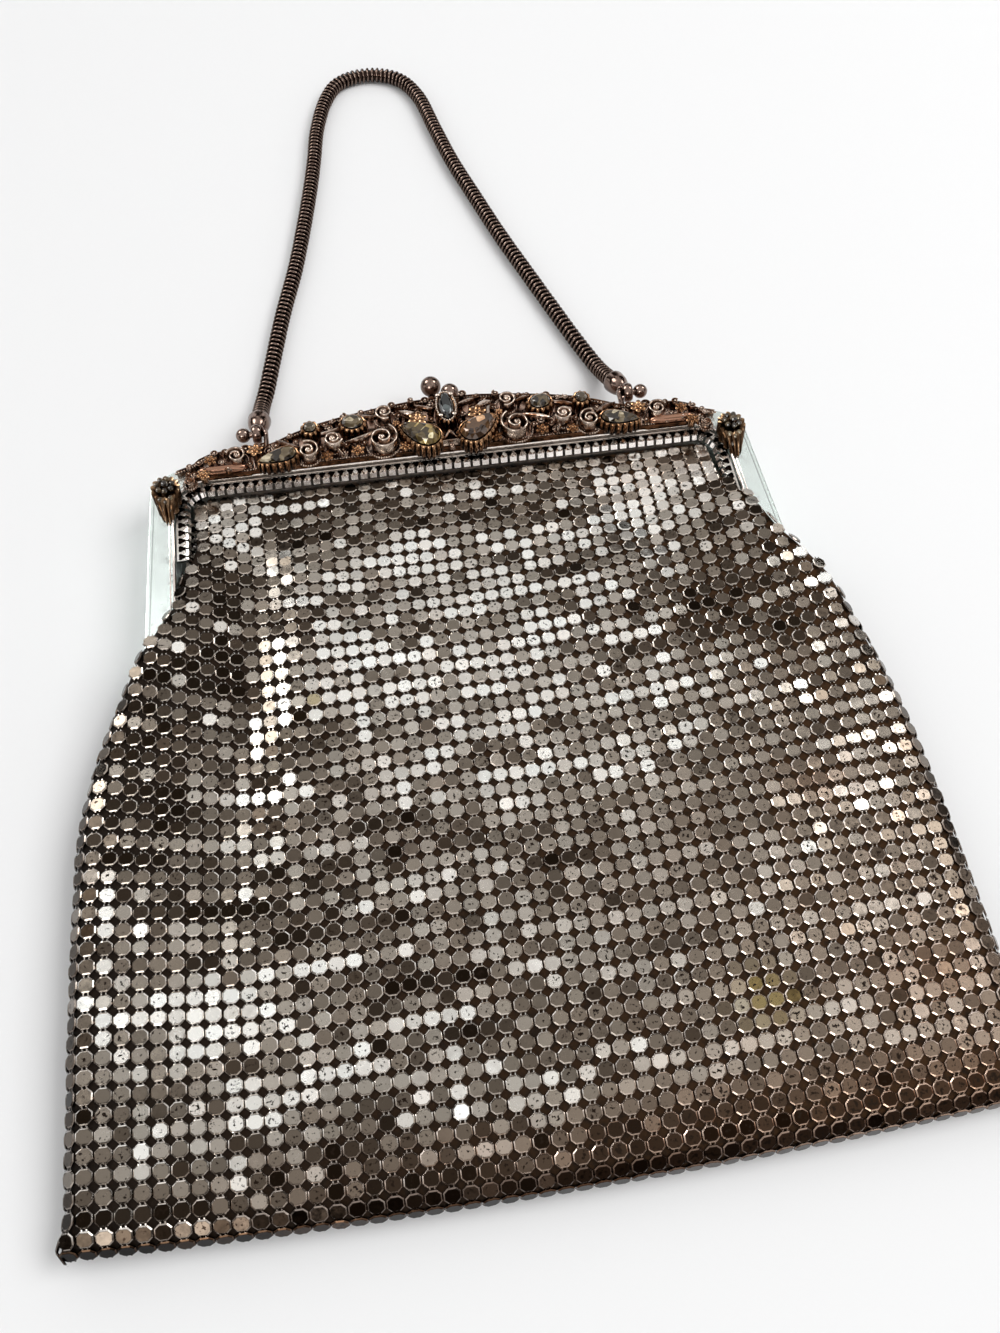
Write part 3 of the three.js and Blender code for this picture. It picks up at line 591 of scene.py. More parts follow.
def tile_finish():
    def color(tree):
        where = place(tree)
        spot = axes_of(tree, attribute(tree, "spot", "Vector"))
        middle = new_node(tree, "ShaderNodeVectorMath", operation="LENGTH")
        feed(tree, middle.inputs[0], attribute(tree, "spot", "Vector"))
        worn = attribute(tree, "worn")
        # Painted reflection: each tile's painted sheen picks its colour, from near black through brown to
        # near white.
        sheen_silver = ramp(
            tree,
            attribute(tree, "painted_sheen"),
            (
                (0.0, (0.012, 0.008, 0.005)),
                (0.25, (0.06, 0.046, 0.034)),
                (0.5, (0.23, 0.2, 0.165)),
                (0.72, (0.5, 0.475, 0.43)),
                (0.86, (0.9, 0.91, 0.88)),
            ),
        )
        warm = mix(tree, attribute(tree, "rosy"), (1, 1, 1), (1.0, 0.7, 0.54))
        body = mix(tree, 1.0, sheen_silver, warm, "MULTIPLY")
        body = mix(tree, attribute(tree, "gold"), body, (0.3, 0.22, 0.05))
        core = spread(tree, middle.outputs["Value"], 0.0012, 0.0002, 0.0, 0.15)
        speckle = noise(tree, where, 1500.0, 3.0, 0.6)
        mark = plus(tree, speckle, times(tree, worn, core))
        mark = plus(tree, mark, times(tree, worn, 0.07))
        body = mix(tree, spread(tree, mark, 0.665, 0.7), body, (0.02, 0.013, 0.009))
        # Painted highlight and painted shade on each tile's bevel: pale on its upper side, brown on its lower
        # side.
        rim_highlight = mix(tree, 1.0, warm, (0.98, 0.96, 0.92), "MULTIPLY")
        rim_shade = mix(tree, 1.0, warm, (0.62, 0.56, 0.5), "MULTIPLY")
        lit_rim = mix(tree, 0.75, body, rim_highlight)
        shaded_rim = mix(tree, 0.6, body, rim_shade)
        painted_rim_light = mix(tree, spread(tree, spot["Y"], -0.0003, 0.0006), shaded_rim, lit_rim)
        rim = spread(tree, spot["Z"], 0.00033, 0.00026)
        # Painted shade: the tile's low side walls are painted near black.
        wall = spread(tree, spot["Z"], 0.00013, 0.00005)
        whole = mix(tree, wall, mix(tree, rim, body, painted_rim_light), (0.03, 0.018, 0.012))
        # Painted shade: tiles darkened where the mesh rolls over its sides and its bottom edge.
        painted_roll_shade = mix(tree, attribute(tree, "painted_roll_shade"), (1, 1, 1), (0.1, 0.062, 0.04))
        return mix(tree, 1.0, whole, painted_roll_shade, "MULTIPLY")

    def rough(tree):
        return spread(tree, noise(tree, place(tree), 700.0, 3.0, 0.6), 0.3, 0.75, 0.12, 0.3)

    made, tree, shader = material("mesh_tiles", color, rough, 1.0, (0.6, 0.57, 0.52))
    feed(tree, shader.inputs["Normal"], bump(tree, noise(tree, place(tree), 600.0, 2.0), 0.2, 0.05))
    return made


def link_shade_finish():
    def color(tree):
        where = place(tree)
        parts = axes_of(tree, where)
        # Painted light: the net is painted near black as the shade between the tiles, and a little lighter
        # towards +x, the lamp's side.
        side = spread(tree, parts["X"], -0.09, 0.07)
        brown = mix(tree, side, (0.006, 0.0035, 0.002), (0.042, 0.02, 0.008))
        return mix(tree, spread(tree, noise(tree, where, 700.0), 0.45, 0.7), brown, (0.012, 0.007, 0.004))

    made, tree, shader = material("mesh_links", color, 0.75, 0.0, (0.04, 0.024, 0.014))
    shader.inputs["Specular IOR Level"].default_value = 0.12
    feed(tree, shader.inputs["Normal"], bump(tree, noise(tree, place(tree), 900.0), 0.6, 0.2))
    return made


def silver_finish(name, base, dark, low=0.12, high=0.3):
    def color(tree):
        where = place(tree)
        cloud = spread(tree, noise(tree, where, 60.0, 3.0, 0.6), 0.3, 0.7)
        plain = mix(tree, cloud, base, tuple(0.9 * c for c in base))
        specks = spread(tree, noise(tree, where, 1500.0, 2.0, 0.6), 0.68, 0.76)
        return mix(tree, specks, plain, dark)

    def rough(tree):
        return spread(tree, noise(tree, place(tree), 200.0, 4.0, 0.7), 0.3, 0.75, low, high)

    made, tree, shader = material(name, color, rough, 1.0, base)
    streak = new_node(tree, "ShaderNodeMapping")
    streak.inputs["Scale"].default_value = (500, 60, 200)
    feed(tree, streak.inputs["Vector"], place(tree))
    feed(tree, shader.inputs["Normal"], bump(tree, noise(tree, streak.outputs[0], 1.0, 4.0), 0.15, 0.05))
    return made


def antique_finish(name, low_z, high_z, deep, body, edge, patchy=0.5, smooth=0.1):
    """Cast metal, dark in its hollows and rubbed bright on its tops."""

    def color(tree):
        where = place(tree)
        parts = axes_of(tree, where)
        lift = spread(tree, parts["Z"], low_z * MM, high_z * MM)
        patch = noise(tree, where, 350.0, 3.0, 0.6)
        level = plus(tree, times(tree, lift, 0.42), times(tree, patch, patchy))
        level = plus(tree, level, 0.25 - 0.5 * patchy)
        level = plus(tree, level, times(tree, attribute(tree, "crest"), 0.5))
        return ramp(tree, level, ((0.52, deep), (0.72, body), (0.94, edge)))

    def rough(tree):
        return spread(tree, noise(tree, place(tree), 900.0, 2.0), 0.3, 0.7, smooth, smooth + 0.16)

    made, tree, shader = material(name, color, rough, 1.0, body)
    feed(tree, shader.inputs["Normal"], bump(tree, noise(tree, place(tree), 1100.0, 3.0), 0.3 * patchy, 0.08))
    return made


def stone_finish(name, deep, body, light, painted_glint):
    """Dark glass with painted reflections: patches of different brightness stand for lit and dark facets, the
    brightest for painted glints.
    """

    def color(tree):
        where = place(tree)
        # Painted reflection: the patches are painted facet reflections, the lightest ones painted light and
        # painted glints.
        painted_facets = tree.nodes.new("ShaderNodeTexVoronoi")
        painted_facets.inputs["Scale"].default_value = 620
        feed(tree, painted_facets.inputs["Vector"], where)
        parts = tree.nodes.new("ShaderNodeSeparateColor")
        feed(tree, parts.inputs[0], painted_facets.outputs["Color"])
        level = plus(tree, times(tree, parts.outputs[0], 0.8), times(tree, noise(tree, where, 900.0), 0.3))
        return ramp(tree, level, ((0.25, deep), (0.65, body), (0.86, light), (0.97, painted_glint)))

    made, tree, shader = material(name, color, 0.08, 0.35, body)
    shader.inputs["IOR"].default_value = 1.6
    shader.inputs["Coat Weight"].default_value = 0.7
    shader.inputs["Coat Roughness"].default_value = 0.03
    return made


def cloth_finish():
    def color(tree):
        where = place(tree)
        weave = new_node(tree, "ShaderNodeTexWave", bands_direction="X")
        weave.inputs["Scale"].default_value = 700
        feed(tree, weave.inputs["Vector"], where)
        other = new_node(tree, "ShaderNodeTexWave", bands_direction="Y")
        other.inputs["Scale"].default_value = 700
        feed(tree, other.inputs["Vector"], where)
        thread = times(tree, weave.outputs["Fac"], other.outputs["Fac"])
        return ramp(tree, thread, ((0.0, (0.045, 0.022, 0.013)), (1.0, (0.17, 0.09, 0.055))))

    made, tree, shader = material("brown_lining", color, 0.85, 0.0, (0.15, 0.08, 0.05))
    shader.inputs["Sheen Weight"].default_value = 0.3
    feed(tree, shader.inputs["Normal"], bump(tree, noise(tree, place(tree), 1500.0), 0.4, 0.1))
    return made


def strip_finish():
    """Grey metal, painted black as shade inside its holes, with a painted highlight along its lower edge."""

    def color(tree):
        where = place(tree)
        cloud = spread(tree, noise(tree, where, 90.0, 3.0, 0.6), 0.35, 0.65)
        band = mix(tree, cloud, (0.8, 0.78, 0.74), (0.5, 0.44, 0.39))
        # Painted shade inside the holes, then a painted highlight on the lower edge.
        band = mix(tree, spread(tree, attribute(tree, "lit"), -0.25, -0.7), band, (0.008, 0.005, 0.004))
        return mix(tree, spread(tree, attribute(tree, "lit"), 0.0, 1.0), band, (0.98, 0.93, 0.89))

    def rough(tree):
        return spread(tree, noise(tree, place(tree), 300.0, 3.0), 0.3, 0.7, 0.12, 0.3)

    made, _, _ = material("strip_metal", color, rough, 1.0, (0.6, 0.57, 0.53))
    return made


def ring_finish():
    """Dark bronze, with a painted highlight along the crest of every ring of the chain and painted shade,
    near black, in the grooves between rings.
    """

    def color(tree):
        where = place(tree)
        ring = mix(tree, noise(tree, where, 300.0), (0.12, 0.075, 0.055), (0.34, 0.25, 0.21))
        # Painted shade in the grooves and painted light on the crests.
        return mix(tree, spread(tree, attribute(tree, "lit"), 0.45, 1.0), (0.004, 0.002, 0.001), ring)

    made, _, _ = material("chain_rings", color, 0.2, 1.0, (0.12, 0.08, 0.06))
    return made


def plate_finish():
    """Pale polished metal, coppery above the opening, with a fine line down the outer side of each leg."""

    def color(tree):
        where = place(tree)
        parts = axes_of(tree, where)
        across = maths(tree, "ABSOLUTE", parts["X"])
        cloud = spread(tree, noise(tree, where, 60.0, 3.0, 0.6), 0.3, 0.7)
        mint = mix(tree, cloud, (0.9, 0.985, 0.96), (0.82, 0.9, 0.875))
        above = times(tree, spread(tree, parts["Y"], 0.083, 0.088), spread(tree, across, 0.07, 0.058))
        plain = mix(tree, above, mint, mix(tree, cloud, (0.6, 0.43, 0.35), (0.34, 0.22, 0.165)))
        edge = plus(tree, across, times(tree, parts["Y"], 0.0378))
        beside = maths(tree, "ABSOLUTE", maths(tree, "SUBTRACT", edge, 0.0773))
        plain = mix(tree, spread(tree, beside, 0.00022, 0.0001, 0.0, 0.55), plain, (0.3, 0.34, 0.33))
        smudge = times(
            tree, spread(tree, noise(tree, where, 150.0, 4.0, 0.7), 0.5, 0.66),
            spread(tree, across, 0.0735, 0.0705)
        )
        plain = mix(tree, times(tree, smudge, 0.7), plain, (0.25, 0.26, 0.25))
        return mix(
            tree, spread(tree, noise(tree, where, 1500.0, 2.0, 0.6), 0.68, 0.76), plain,
            (0.35, 0.36, 0.34)
        )

    def rough(tree):
        where = place(tree)
        parts = axes_of(tree, where)
        worn = spread(tree, noise(tree, where, 200.0, 4.0, 0.7), 0.3, 0.75, 0.12, 0.3)
        wall = spread(tree, parts["Z"], (FRONT_Z - 0.45) * MM, (FRONT_Z - 0.6) * MM, 0.0, 0.45)
        return plus(tree, worn, wall)

    made, _, _ = material("polished_frame", color, rough, 1.0, (0.8, 0.85, 0.83))
    return made


MESH_TILES = tile_finish()
SHADED_LINKS = link_shade_finish()
PLATE = plate_finish()
LEG_SILVER = silver_finish("hinge_silver", (0.82, 0.86, 0.84), (0.35, 0.36, 0.34))
LIP_SILVER = silver_finish("bright_lip", (0.86, 0.78, 0.73), (0.3, 0.22, 0.18), 0.12, 0.28)
STRIP_SILVER = strip_finish()
ANTIQUE = antique_finish(
    "antique_casting", 13.6, 19.4, (0.006, 0.0035, 0.002), (0.11, 0.05, 0.025), (0.58, 0.48, 0.41)
)
CLASP_METAL = antique_finish(
    "clasp_metal", 2.0, 14.0, (0.02, 0.012, 0.009), (0.075, 0.045, 0.033), (0.24, 0.17, 0.14), 0.12, 0.05
)
CHAIN_METAL = antique_finish(
    "chain_bronze", 2.0, 10.0, (0.01, 0.006, 0.004), (0.045, 0.026, 0.02), (0.2, 0.14, 0.115), 0.15, 0.08
)
CHAIN_RINGS = ring_finish()
CUP_METAL = antique_finish(
    "stone_cups", 13.4, 21.0, (0.006, 0.003, 0.002), (0.11, 0.05, 0.022), (0.5, 0.3, 0.17)
)
SHELL_METAL = antique_finish(
    "shell_metal", 12.0, 24.0, (0.005, 0.003, 0.002), (0.075, 0.04, 0.02), (0.34, 0.23, 0.14), 0.6
)
COPPER = silver_finish("polished_copper", (0.33, 0.18, 0.12), (0.1, 0.05, 0.03), 0.1, 0.24)
# The last two colours of each stone are its painted facet light and its painted glint.
SMOKY = stone_finish(
    "smoky_stone", (0.016, 0.011, 0.006), (0.08, 0.055, 0.028), (0.2, 0.15, 0.08), (0.7, 0.6, 0.42)
)
YELLOW_SMOKE = stone_finish(
    "yellow_smoke", (0.03, 0.018, 0.006), (0.13, 0.09, 0.035), (0.5, 0.36, 0.12), (1.0, 0.9, 0.6)
)
ORANGE_SMOKE = stone_finish(
    "orange_smoke", (0.03, 0.014, 0.007), (0.14, 0.07, 0.03), (0.5, 0.24, 0.1), (0.95, 0.6, 0.35)
)
BLACK_STONE = stone_finish(
    "black_stone", (0.002, 0.0025, 0.0025), (0.004, 0.005, 0.005), (0.01, 0.012, 0.012), (0.1, 0.12, 0.12)
)
LINING = cloth_finish()


# The pouch's surface

# Widths left and right, underside and top in millimetres down the pouch, and how far its sides round off
PROFILE = table(
    "y left right low top side",
    (-84.8, 94.2, 93.1, 0.2, 9.3, 3.0),
    (-83.5, 95.0, 93.9, 0.1, 9.4, 3.3),
    (-79.8, 94.3, 93.3, 0.0, 9.7, 3.8),
    (-68.0, 93.9, 93.1, 0.0, 10.6, 4.5),
    (-44.2, 93.7, 93.0, 0.0, 11.6, 5.0),
    (-17.4, 93.2, 92.7, 0.0, 12.2, 5.2),
    (-0.6, 92.3, 91.9, 0.0, 12.5, 5.2),
    (9.5, 90.2, 90.8, 0.0, 12.7, 5.2),
    (19.5, 87.4, 89.3, 0.0, 12.9, 5.2),
    (27.9, 84.0, 87.6, 0.0, 13.1, 4.5),
    (33.0, 82.0, 86.6, 0.0, 13.3, 3.6),
    (38.8, 79.0, 84.6, 0.0, 13.4, 2.8),
    (45.5, 74.3, 80.5, 0.0, 13.3, 2.2),
    (53.1, 70.3, 75.4, 0.0, 13.0, 1.8),
    (59.8, 69.2, 73.0, 0.0, 12.6, 1.5),
    (66.5, 66.1, 69.1, 0.0, 12.1, 1.5),
    (71.6, 65.8, 66.3, 0.1, 11.6, 1.5),
    (83.3, 65.6, 65.6, 1.0, 10.4, 1.5),
)

# Folds and swellings of the front, as in the model: shares of the frame's half width and the pouch's length
FOLDS = table(
    "x y long wide turn height",
    (-0.952, 0.76, 0.21, 0.186, 90, 0.17),
    (0.94, 0.84, 0.247, 0.186, 90, 0.21),
    (-0.68, 0.75, 0.371, 0.087, 82, -0.13),
    (-0.569, 0.72, 0.519, 0.111, 84, 0.07),
    (-0.767, 0.5, 0.371, 0.099, 76, -0.07),
    (0.618, 0.82, 0.421, 0.111, 118, -0.08),
    (0.025, 0.83, 0.618, 0.099, 3, -0.06),
    (0.124, 0.68, 0.68, 0.124, -4, 0.05),
    (-0.124, 0.42, 0.618, 0.148, 10, -0.05),
    (0.557, 0.3, 0.495, 0.173, 40, 0.05),
    (-0.495, 0.15, 0.495, 0.148, -15, 0.04),
)

BOTTOM_ROLL_Y = -79.6
BOTTOM_ROLL = 5.2


def column(name, y):
    return hermite(y, [row["y"] for row in PROFILE], [row[name] for row in PROFILE])


def fold_height(x, y):
    total = 0
    for fold in FOLDS:
        dx = x / FRAME_HALF_WIDTH - fold["x"]
        dy = (y - POUCH_BOTTOM_Y - fold["y"] * POUCH_LENGTH) / FRAME_HALF_WIDTH
        turn = math.radians(fold["turn"])
        along = (dx * math.cos(turn) + dy * math.sin(turn)) / fold["long"]
        across = (dy * math.cos(turn) - dx * math.sin(turn)) / fold["wide"]
        total = total + fold["height"] * POUCH_DEPTH * np.exp(-along * along - across * across)
    return total


def bow_rise(x, y):
    """How far the bottom edge and the rows near it rise towards the sides."""
    at = (y - POUCH_BOTTOM_Y) / POUCH_LENGTH
    return BOTTOM_BOW * (x / POUCH_HALF_WIDTH) ** 2 * np.maximum(0, 1 - at / BOW_REACH)


def pouch_point(s, t, inset=0.0, front=True):
    """Place on the pouch for a run s across it and t up it, measured along its surface, moved in by inset.

    Beyond its edges the surface rolls over its sides and its bottom edge."""
    s = np.asarray(s, float)
    t = np.asarray(t, float)
    roll = np.clip((BOTTOM_ROLL_Y - t) / BOTTOM_ROLL, 0, 2.2)
    y = np.where(
        t < BOTTOM_ROLL_Y, BOTTOM_ROLL_Y - (BOTTOM_ROLL - inset) * np.sin(np.minimum(roll, math.pi / 2)),
        t
    )
    width = np.where(s < 0, column("left", y), column("right", y))
    side = column("side", y)
    flat = width - side
    over = np.clip((np.abs(s) - flat) / side / SIDE_STRETCH, 0, 2.2)
    x = np.sign(s) * np.where(
        over > 0, flat + (side - inset) * np.sin(np.minimum(over, math.pi / 2)), np.abs(s)
    )
    low = column("low", y)
    top = column("top", y) + fold_height(x, y)
    middle = (low + top) / 2
    half = (top - low) / 2 - inset
    lift = np.cos(over) * np.cos(roll)
    z = middle + half * lift if front else middle - half * lift
    return np.stack([x, y + bow_rise(x, y), z], -1), over, roll


def pouch_frame(s, t, front=True):
    """Place, direction across, and outward normal of the pouch's surface."""
    step = 0.4
    here, over, roll = pouch_point(s, t, front=front)
    across = pouch_point(s + step, t, front=front)[0] - pouch_point(s - step, t, front=front)[0]
    upward = pouch_point(s, t + step, front=front)[0] - pouch_point(s, t - step, front=front)[0]
    out = np.cross(across, upward)
    if not front:
        out = -out
    out /= np.linalg.norm(out, axis=-1, keepdims=True)
    across /= np.linalg.norm(across, axis=-1, keepdims=True)
    return here, across, out, over, roll


# Tile rows and columns, in tile pitches from the lattice's middle, read off a few rows of the purse
LATTICE_COLUMNS = (-20, -10, 0, 10, 20, 30)
LATTICE = table(
    "row across down",
    (-40, (-25.6, -16.2, -6.4, 3.44, 13.3, 23.1), (-16.2, -16.3, -16.35, -16.4, -16.45, -16.5)),
    (-30, (-24.6, -15.9, -6.6, 3.2, 13.3, 23.3), (-9.7, -7.1, -6.4, -6.6, -7.9, -10.6)),
    (-22, (-25.0, -15.8, -6.2, 3.6, 13.6, 23.8), (-0.8, 1.8, 1.6, 1.5, 0.5, -1.4)),
    (-10, (-25.8, -15.9, -6.0, 4.2, 14.4, 24.3), (12.8, 13.9, 13.4, 13.3, 12.8, 12.5)),
    (6, (-25.8, -15.9, -6.0, 4.0, 14.0, 24.0), (29.5, 29.6, 29.6, 29.6, 29.5, 29.4)),
)


# Small ripples of the rows beside the frame's corners, in millimetres
RIPPLES = table(
    "x y rx ry lift",
    (-67, 71, 12, 12, 5.2),
    (-43, 70, 10, 9, -4.0),
    (60, 70, 9, 12, 1.4),
    (40, 74, 10, 8, -1.0),
)


def lattice_place(columns, rows):
    """Runs across and up the pouch, in millimetres, of the tiles at these columns and rows."""
    tables = {}
    for key in ("across", "down"):
        by_row = np.stack([
            [
                hermite(c, LATTICE_COLUMNS, line[key]) + slope_beyond(c, line[key])
                for c in columns
            ] for line in LATTICE
        ])
        lines = [line["row"] for line in LATTICE]
        tables[key] = np.stack([
            hermite(rows, lines, by_row[:, i]) + np.maximum(0, rows - lines[-1]) * (key == "down")
            for i in range(len(columns))
        ], 1)
    u = TILE_PITCH * tables["across"] + 2
    v = 24 - TILE_PITCH * tables["down"]
    raised = v
    for ripple in RIPPLES:
        reach = ((u - ripple["x"]) / ripple["rx"]) ** 2 + ((v - ripple["y"]) / ripple["ry"]) ** 2
        raised = raised + ripple["lift"] * np.exp(-reach) * np.clip((82 - v) / 6, 0, 1)
    return u + 0.01 * v, raised - 0.01 * u


def slope_beyond(c, values):
    """Straight run of a table beyond its first and last column."""
    first, last = LATTICE_COLUMNS[0], LATTICE_COLUMNS[-1]
    if c < first:
        return (c - first) * (values[1] - values[0]) / (LATTICE_COLUMNS[1] - first)
    if c > last:
        return (c - last) * (values[-1] - values[-2]) / (last - LATTICE_COLUMNS[-2])
    return 0.0


def tile_unit():
    """Flat octagon with a narrow bevel, two small prongs above and below and a nub at each side."""
    shape = Shape()
    half_x, half_y, cut_x, cut_y = 1.62, 1.47, 0.8, 0.72
    rings = []
    for inset, lift in ((0.0, -0.1), (0.0, 0.12), (0.27, 0.34)):
        x, y = half_x - inset, half_y - inset
        cx, cy = cut_x - 0.45 * inset, cut_y - 0.45 * inset
        corners = ((x, -cy), (x, cy), (cx, y), (-cx, y), (-x, cy), (-x, -cy), (-cx, -y), (cx, -y))
        rings.append([(px, py, lift) for px, py in corners])
    shape.rings(rings, ends=(False, True))
    for side in (-1, 1):
        for dx in (-0.45, 0.45):
            prong = []
            for dy, dz in ((half_y - 0.1, 0.08), (half_y + 0.3, 0.1), (half_y + 0.42, -0.15)):
                prong.append([(dx - 0.12, side * dy, dz), (dx + 0.12, side * dy, dz)])
            shape.rings(prong, ends=(False, False), around=False)
        nub = [
            [(side * (half_x - 0.05), dy, 0.12), (side * (half_x + 0.2), dy, -0.05)]
            for dy in (-0.55, -0.2)
        ]
        shape.rings(nub, ends=(False, False), around=False)
    unit = shape.object("tile_unit", None, smooth=False, closed=False)
    spot = unit.data.attributes.new("spot", "FLOAT_VECTOR", "POINT")
    spot.data.foreach_set("vector", np.array([c * MM for p in shape.points for c in p], float))
    return unit


# Painted reflection on the mesh: parts whose tiles are painted brighter, as if mirroring a window, or darker,
# as if in shade: places and reaches in millimetres, and how much
PAINTED_SHEEN = table(
    "x y rx ry light",
    (-50, 72, 12, 7, 0.3),
    (-19, 57, 12, 6, 0.3),
    (24, 58, 24, 8, 0.36),
    (45, 72, 12, 14, 0.36),
    (-6, 44, 28, 18, 0.25),
    (-30, 30, 12, 9, 0.28),
    (2, 18, 26, 16, 0.22),
    (42, 9, 34, 11, 0.13),
    (8, -4, 16, 8, 0.15),
    (-48, -2, 9, 12, 0.12),
    (-75, -45, 13, 12, 0.3),
    (-57, -60, 10, 16, 0.3),
    (-35, -54, 10, 10, 0.1),
    (73, -17, 8, 5, 0.25),
    (44, -40, 7, 5, 0.1),
    (-58, 33, 11, 22, -0.42),
    (-72, 30, 9, 20, -0.2),
    (-77, 3, 11, 22, -0.34),
    (-20, 65, 30, 4, -0.14),
    (-42, 20, 7, 6, -0.15),
    (-33, -5, 9, 8, -0.12),
    (-57, -28, 8, 8, -0.14),
    (-35, -32, 11, 8, -0.13),
    (64, 31, 14, 20, -0.2),
    (62, -4, 8, 6, -0.1),
    (40, -55, 24, 8, -0.08),
)


def tile_facts(places, lines, over, roll, generator):
    """Painted sheen and painted shade, copper tint, gold stain and wear of each tile."""
    x, y = places[:, 0], places[:, 1]
    count = len(places)
    # Painted reflection: a base brightness, plus the painted sheen zones and random runs along the rows and
    # from tile to tile.
    painted_sheen = np.full(count, 0.515)
    for row in PAINTED_SHEEN:
        painted_sheen += row["light"] * np.exp(
            -(((x - row["x"]) / row["rx"]) ** 2) - (((y - row["y"]) / row["ry"]) ** 2)
        )
    # Painted shade: tiles darker towards the outer sides and over the bottom roll.
    painted_sheen -= 0.2 * np.clip((np.abs(x) - 86) / 7, 0, 1) + 0.36 * np.clip((-70 - y) / 7, 0, 1)
    calm = np.clip((x + 30) / 60, 0, 1) * np.clip((30 - y) / 40, 0, 1)
    runs = generator.normal(0, 1, (120, 40))
    for line in np.unique(lines):
        chosen = lines == line
        share = (x[chosen] + 100) / 14
        painted_sheen[chosen] += (0.17 - 0.11 * calm[chosen]) * np.interp(share, np.arange(40), runs[int(line) % 120])
    painted_sheen += generator.normal(0, 0.2, count) * (1 - 0.55 * calm)
    low_right = np.clip((x + 5) / 80, 0, 1) * np.clip((15 - y) / 80, 0, 1)
    bottom = np.clip((-68 - y) / 10, 0, 1) * np.clip(0.5 + (x + 40) / 100, 0, 1)
    corner = np.exp(-(((x - 50) / 22) ** 2) - (((y - 76) / 8) ** 2))
    copper = np.exp(-(((x - 66) / 8) ** 2) - (((y + 14) / 5) ** 2)) + np.exp(
        -(((x - 77) / 10) ** 2) - (((y + 57) / 9) ** 2)
    )
    rosy = 0.08 + 0.3 * low_right + 0.5 * bottom + 0.2 * corner + 0.35 * copper
    rosy = np.clip(rosy + 0.05 * generator.normal(0, 1, count), 0, 1)
    worn = np.clip(0.15 + 0.35 * low_right + 0.35 * bottom + 0.8 * (generator.random(count) - 0.3), 0, 1)
    # Painted shade: tiles that roll over the bottom edge, less so towards the right, or over the sides.
    rolled = np.clip((roll - 0.25) / 0.5, 0, 1) * (1 - 0.4 * np.clip((x - 10) / 50, 0, 1))
    painted_roll_shade = np.clip(np.maximum(rolled, 0.75 * np.clip((over - 0.1) / 0.7, 0, 1)), 0, 1)
    gold = np.zeros(count)
    for gx, gy, reach in ((42.0, -57.0, 5.0), (-40.0, 21.0, 2.2)):
        gold = np.maximum(gold, 0.6 * np.exp(-((x - gx) ** 2 + (y - gy) ** 2) / reach**2))
    return {"painted_sheen": np.clip(painted_sheen, 0, 1), "rosy": rosy, "worn": worn, "gold": gold, "painted_roll_shade": painted_roll_shade}


def lay_tiles(name, s, t, lines, front, seed, unit, spread_degrees):
    """Tiles at these runs of the surface, each tipped a little at random."""
    generator = np.random.default_rng(seed)
    here, across, out, over, roll = pouch_frame(s, t, front)
    facts = tile_facts(here, lines, over, roll, generator)
    tips = generator.normal(0, math.radians(spread_degrees), (len(here), 2))
    turns = []
    for i in range(len(here)):
        z = Vector(out[i])
        x = Vector(across[i])
        turns.append(turn_of(x, z + x * tips[i, 0] + Vector((0, 1, 0)) * tips[i, 1]))
    sunk = here - out * (FRONT_TILE_SINK if front else BACK_TILE_SINK)
    return repeat(name, unit, sunk, turns, MESH_TILES, facts, size_spread=0.02, seed=seed)


def over_leg(here):
    """Whether a place is over a leg of the frame, where the mesh can't hang down."""
    x, y = here[:, 0], here[:, 1]
    return (y > 32) & (np.abs(x) > LEG_INNER_X - 4)


def tile_rows():
    columns = np.arange(-26, 38)
    rows = np.arange(-40, 10)
    s, t = lattice_place(columns, rows)
    lines = np.repeat(rows + 60, len(columns))
    s, t = s.ravel(), t.ravel()
    here, _, _, over, roll = pouch_frame(s, t)
    keep = (over < 1.65) & (roll < 1.65) & (t < POUCH_MOUTH_Y - 0.7)
    edge = np.where(s < 0, column("left", here[:, 1]), column("right", here[:, 1]))
    keep &= ~(over_leg(here) & (np.abs(s) > edge - 1.0))
    return s[keep], t[keep], lines[keep]


def make_pouch():
    unit = tile_unit()
    s, t, lines = tile_rows()
    upper = t > 12
    middle = (t <= 12) & (t > -38)
    lower = t <= -38
    pieces = [
        lay_tiles("mesh_tiles_upper", s[upper], t[upper], lines[upper], True, 11, unit, 2.2),
        lay_tiles("mesh_tiles_middle", s[middle], t[middle], lines[middle], True, 12, unit, 2.2),
        lay_tiles("mesh_tiles_lower", s[lower], t[lower], lines[lower], True, 13, unit, 2.2),
    ]
    columns = np.arange(-26, 27)
    rows = np.arange(-23, 24)
    s, t = np.meshgrid(columns * TILE_PITCH, rows * TILE_PITCH)
    lines = np.repeat(rows + 60, len(columns))
    s, t = s.ravel(), t.ravel()
    _, _, _, over, roll = pouch_frame(s, t, False)
    inside = np.abs(s) < np.where(t > 32, LEG_INNER_X - 6, 200)
    keep = (over < 1.5) & (roll < 1.5) & (t < POUCH_MOUTH_Y - 1.2) & inside
    s, t, lines = s[keep], t[keep], lines[keep]
    for label, part in (("upper", t > 0), ("lower", t <= 0)):
        pieces.append(lay_tiles(f"mesh_back_{label}", s[part], t[part], lines[part], False, 14, unit, 1.0))
    drop(unit)
    pieces.append(shaded_link_net())
    for made in pieces:
        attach(made, BODY)
    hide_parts("mesh_pouch")


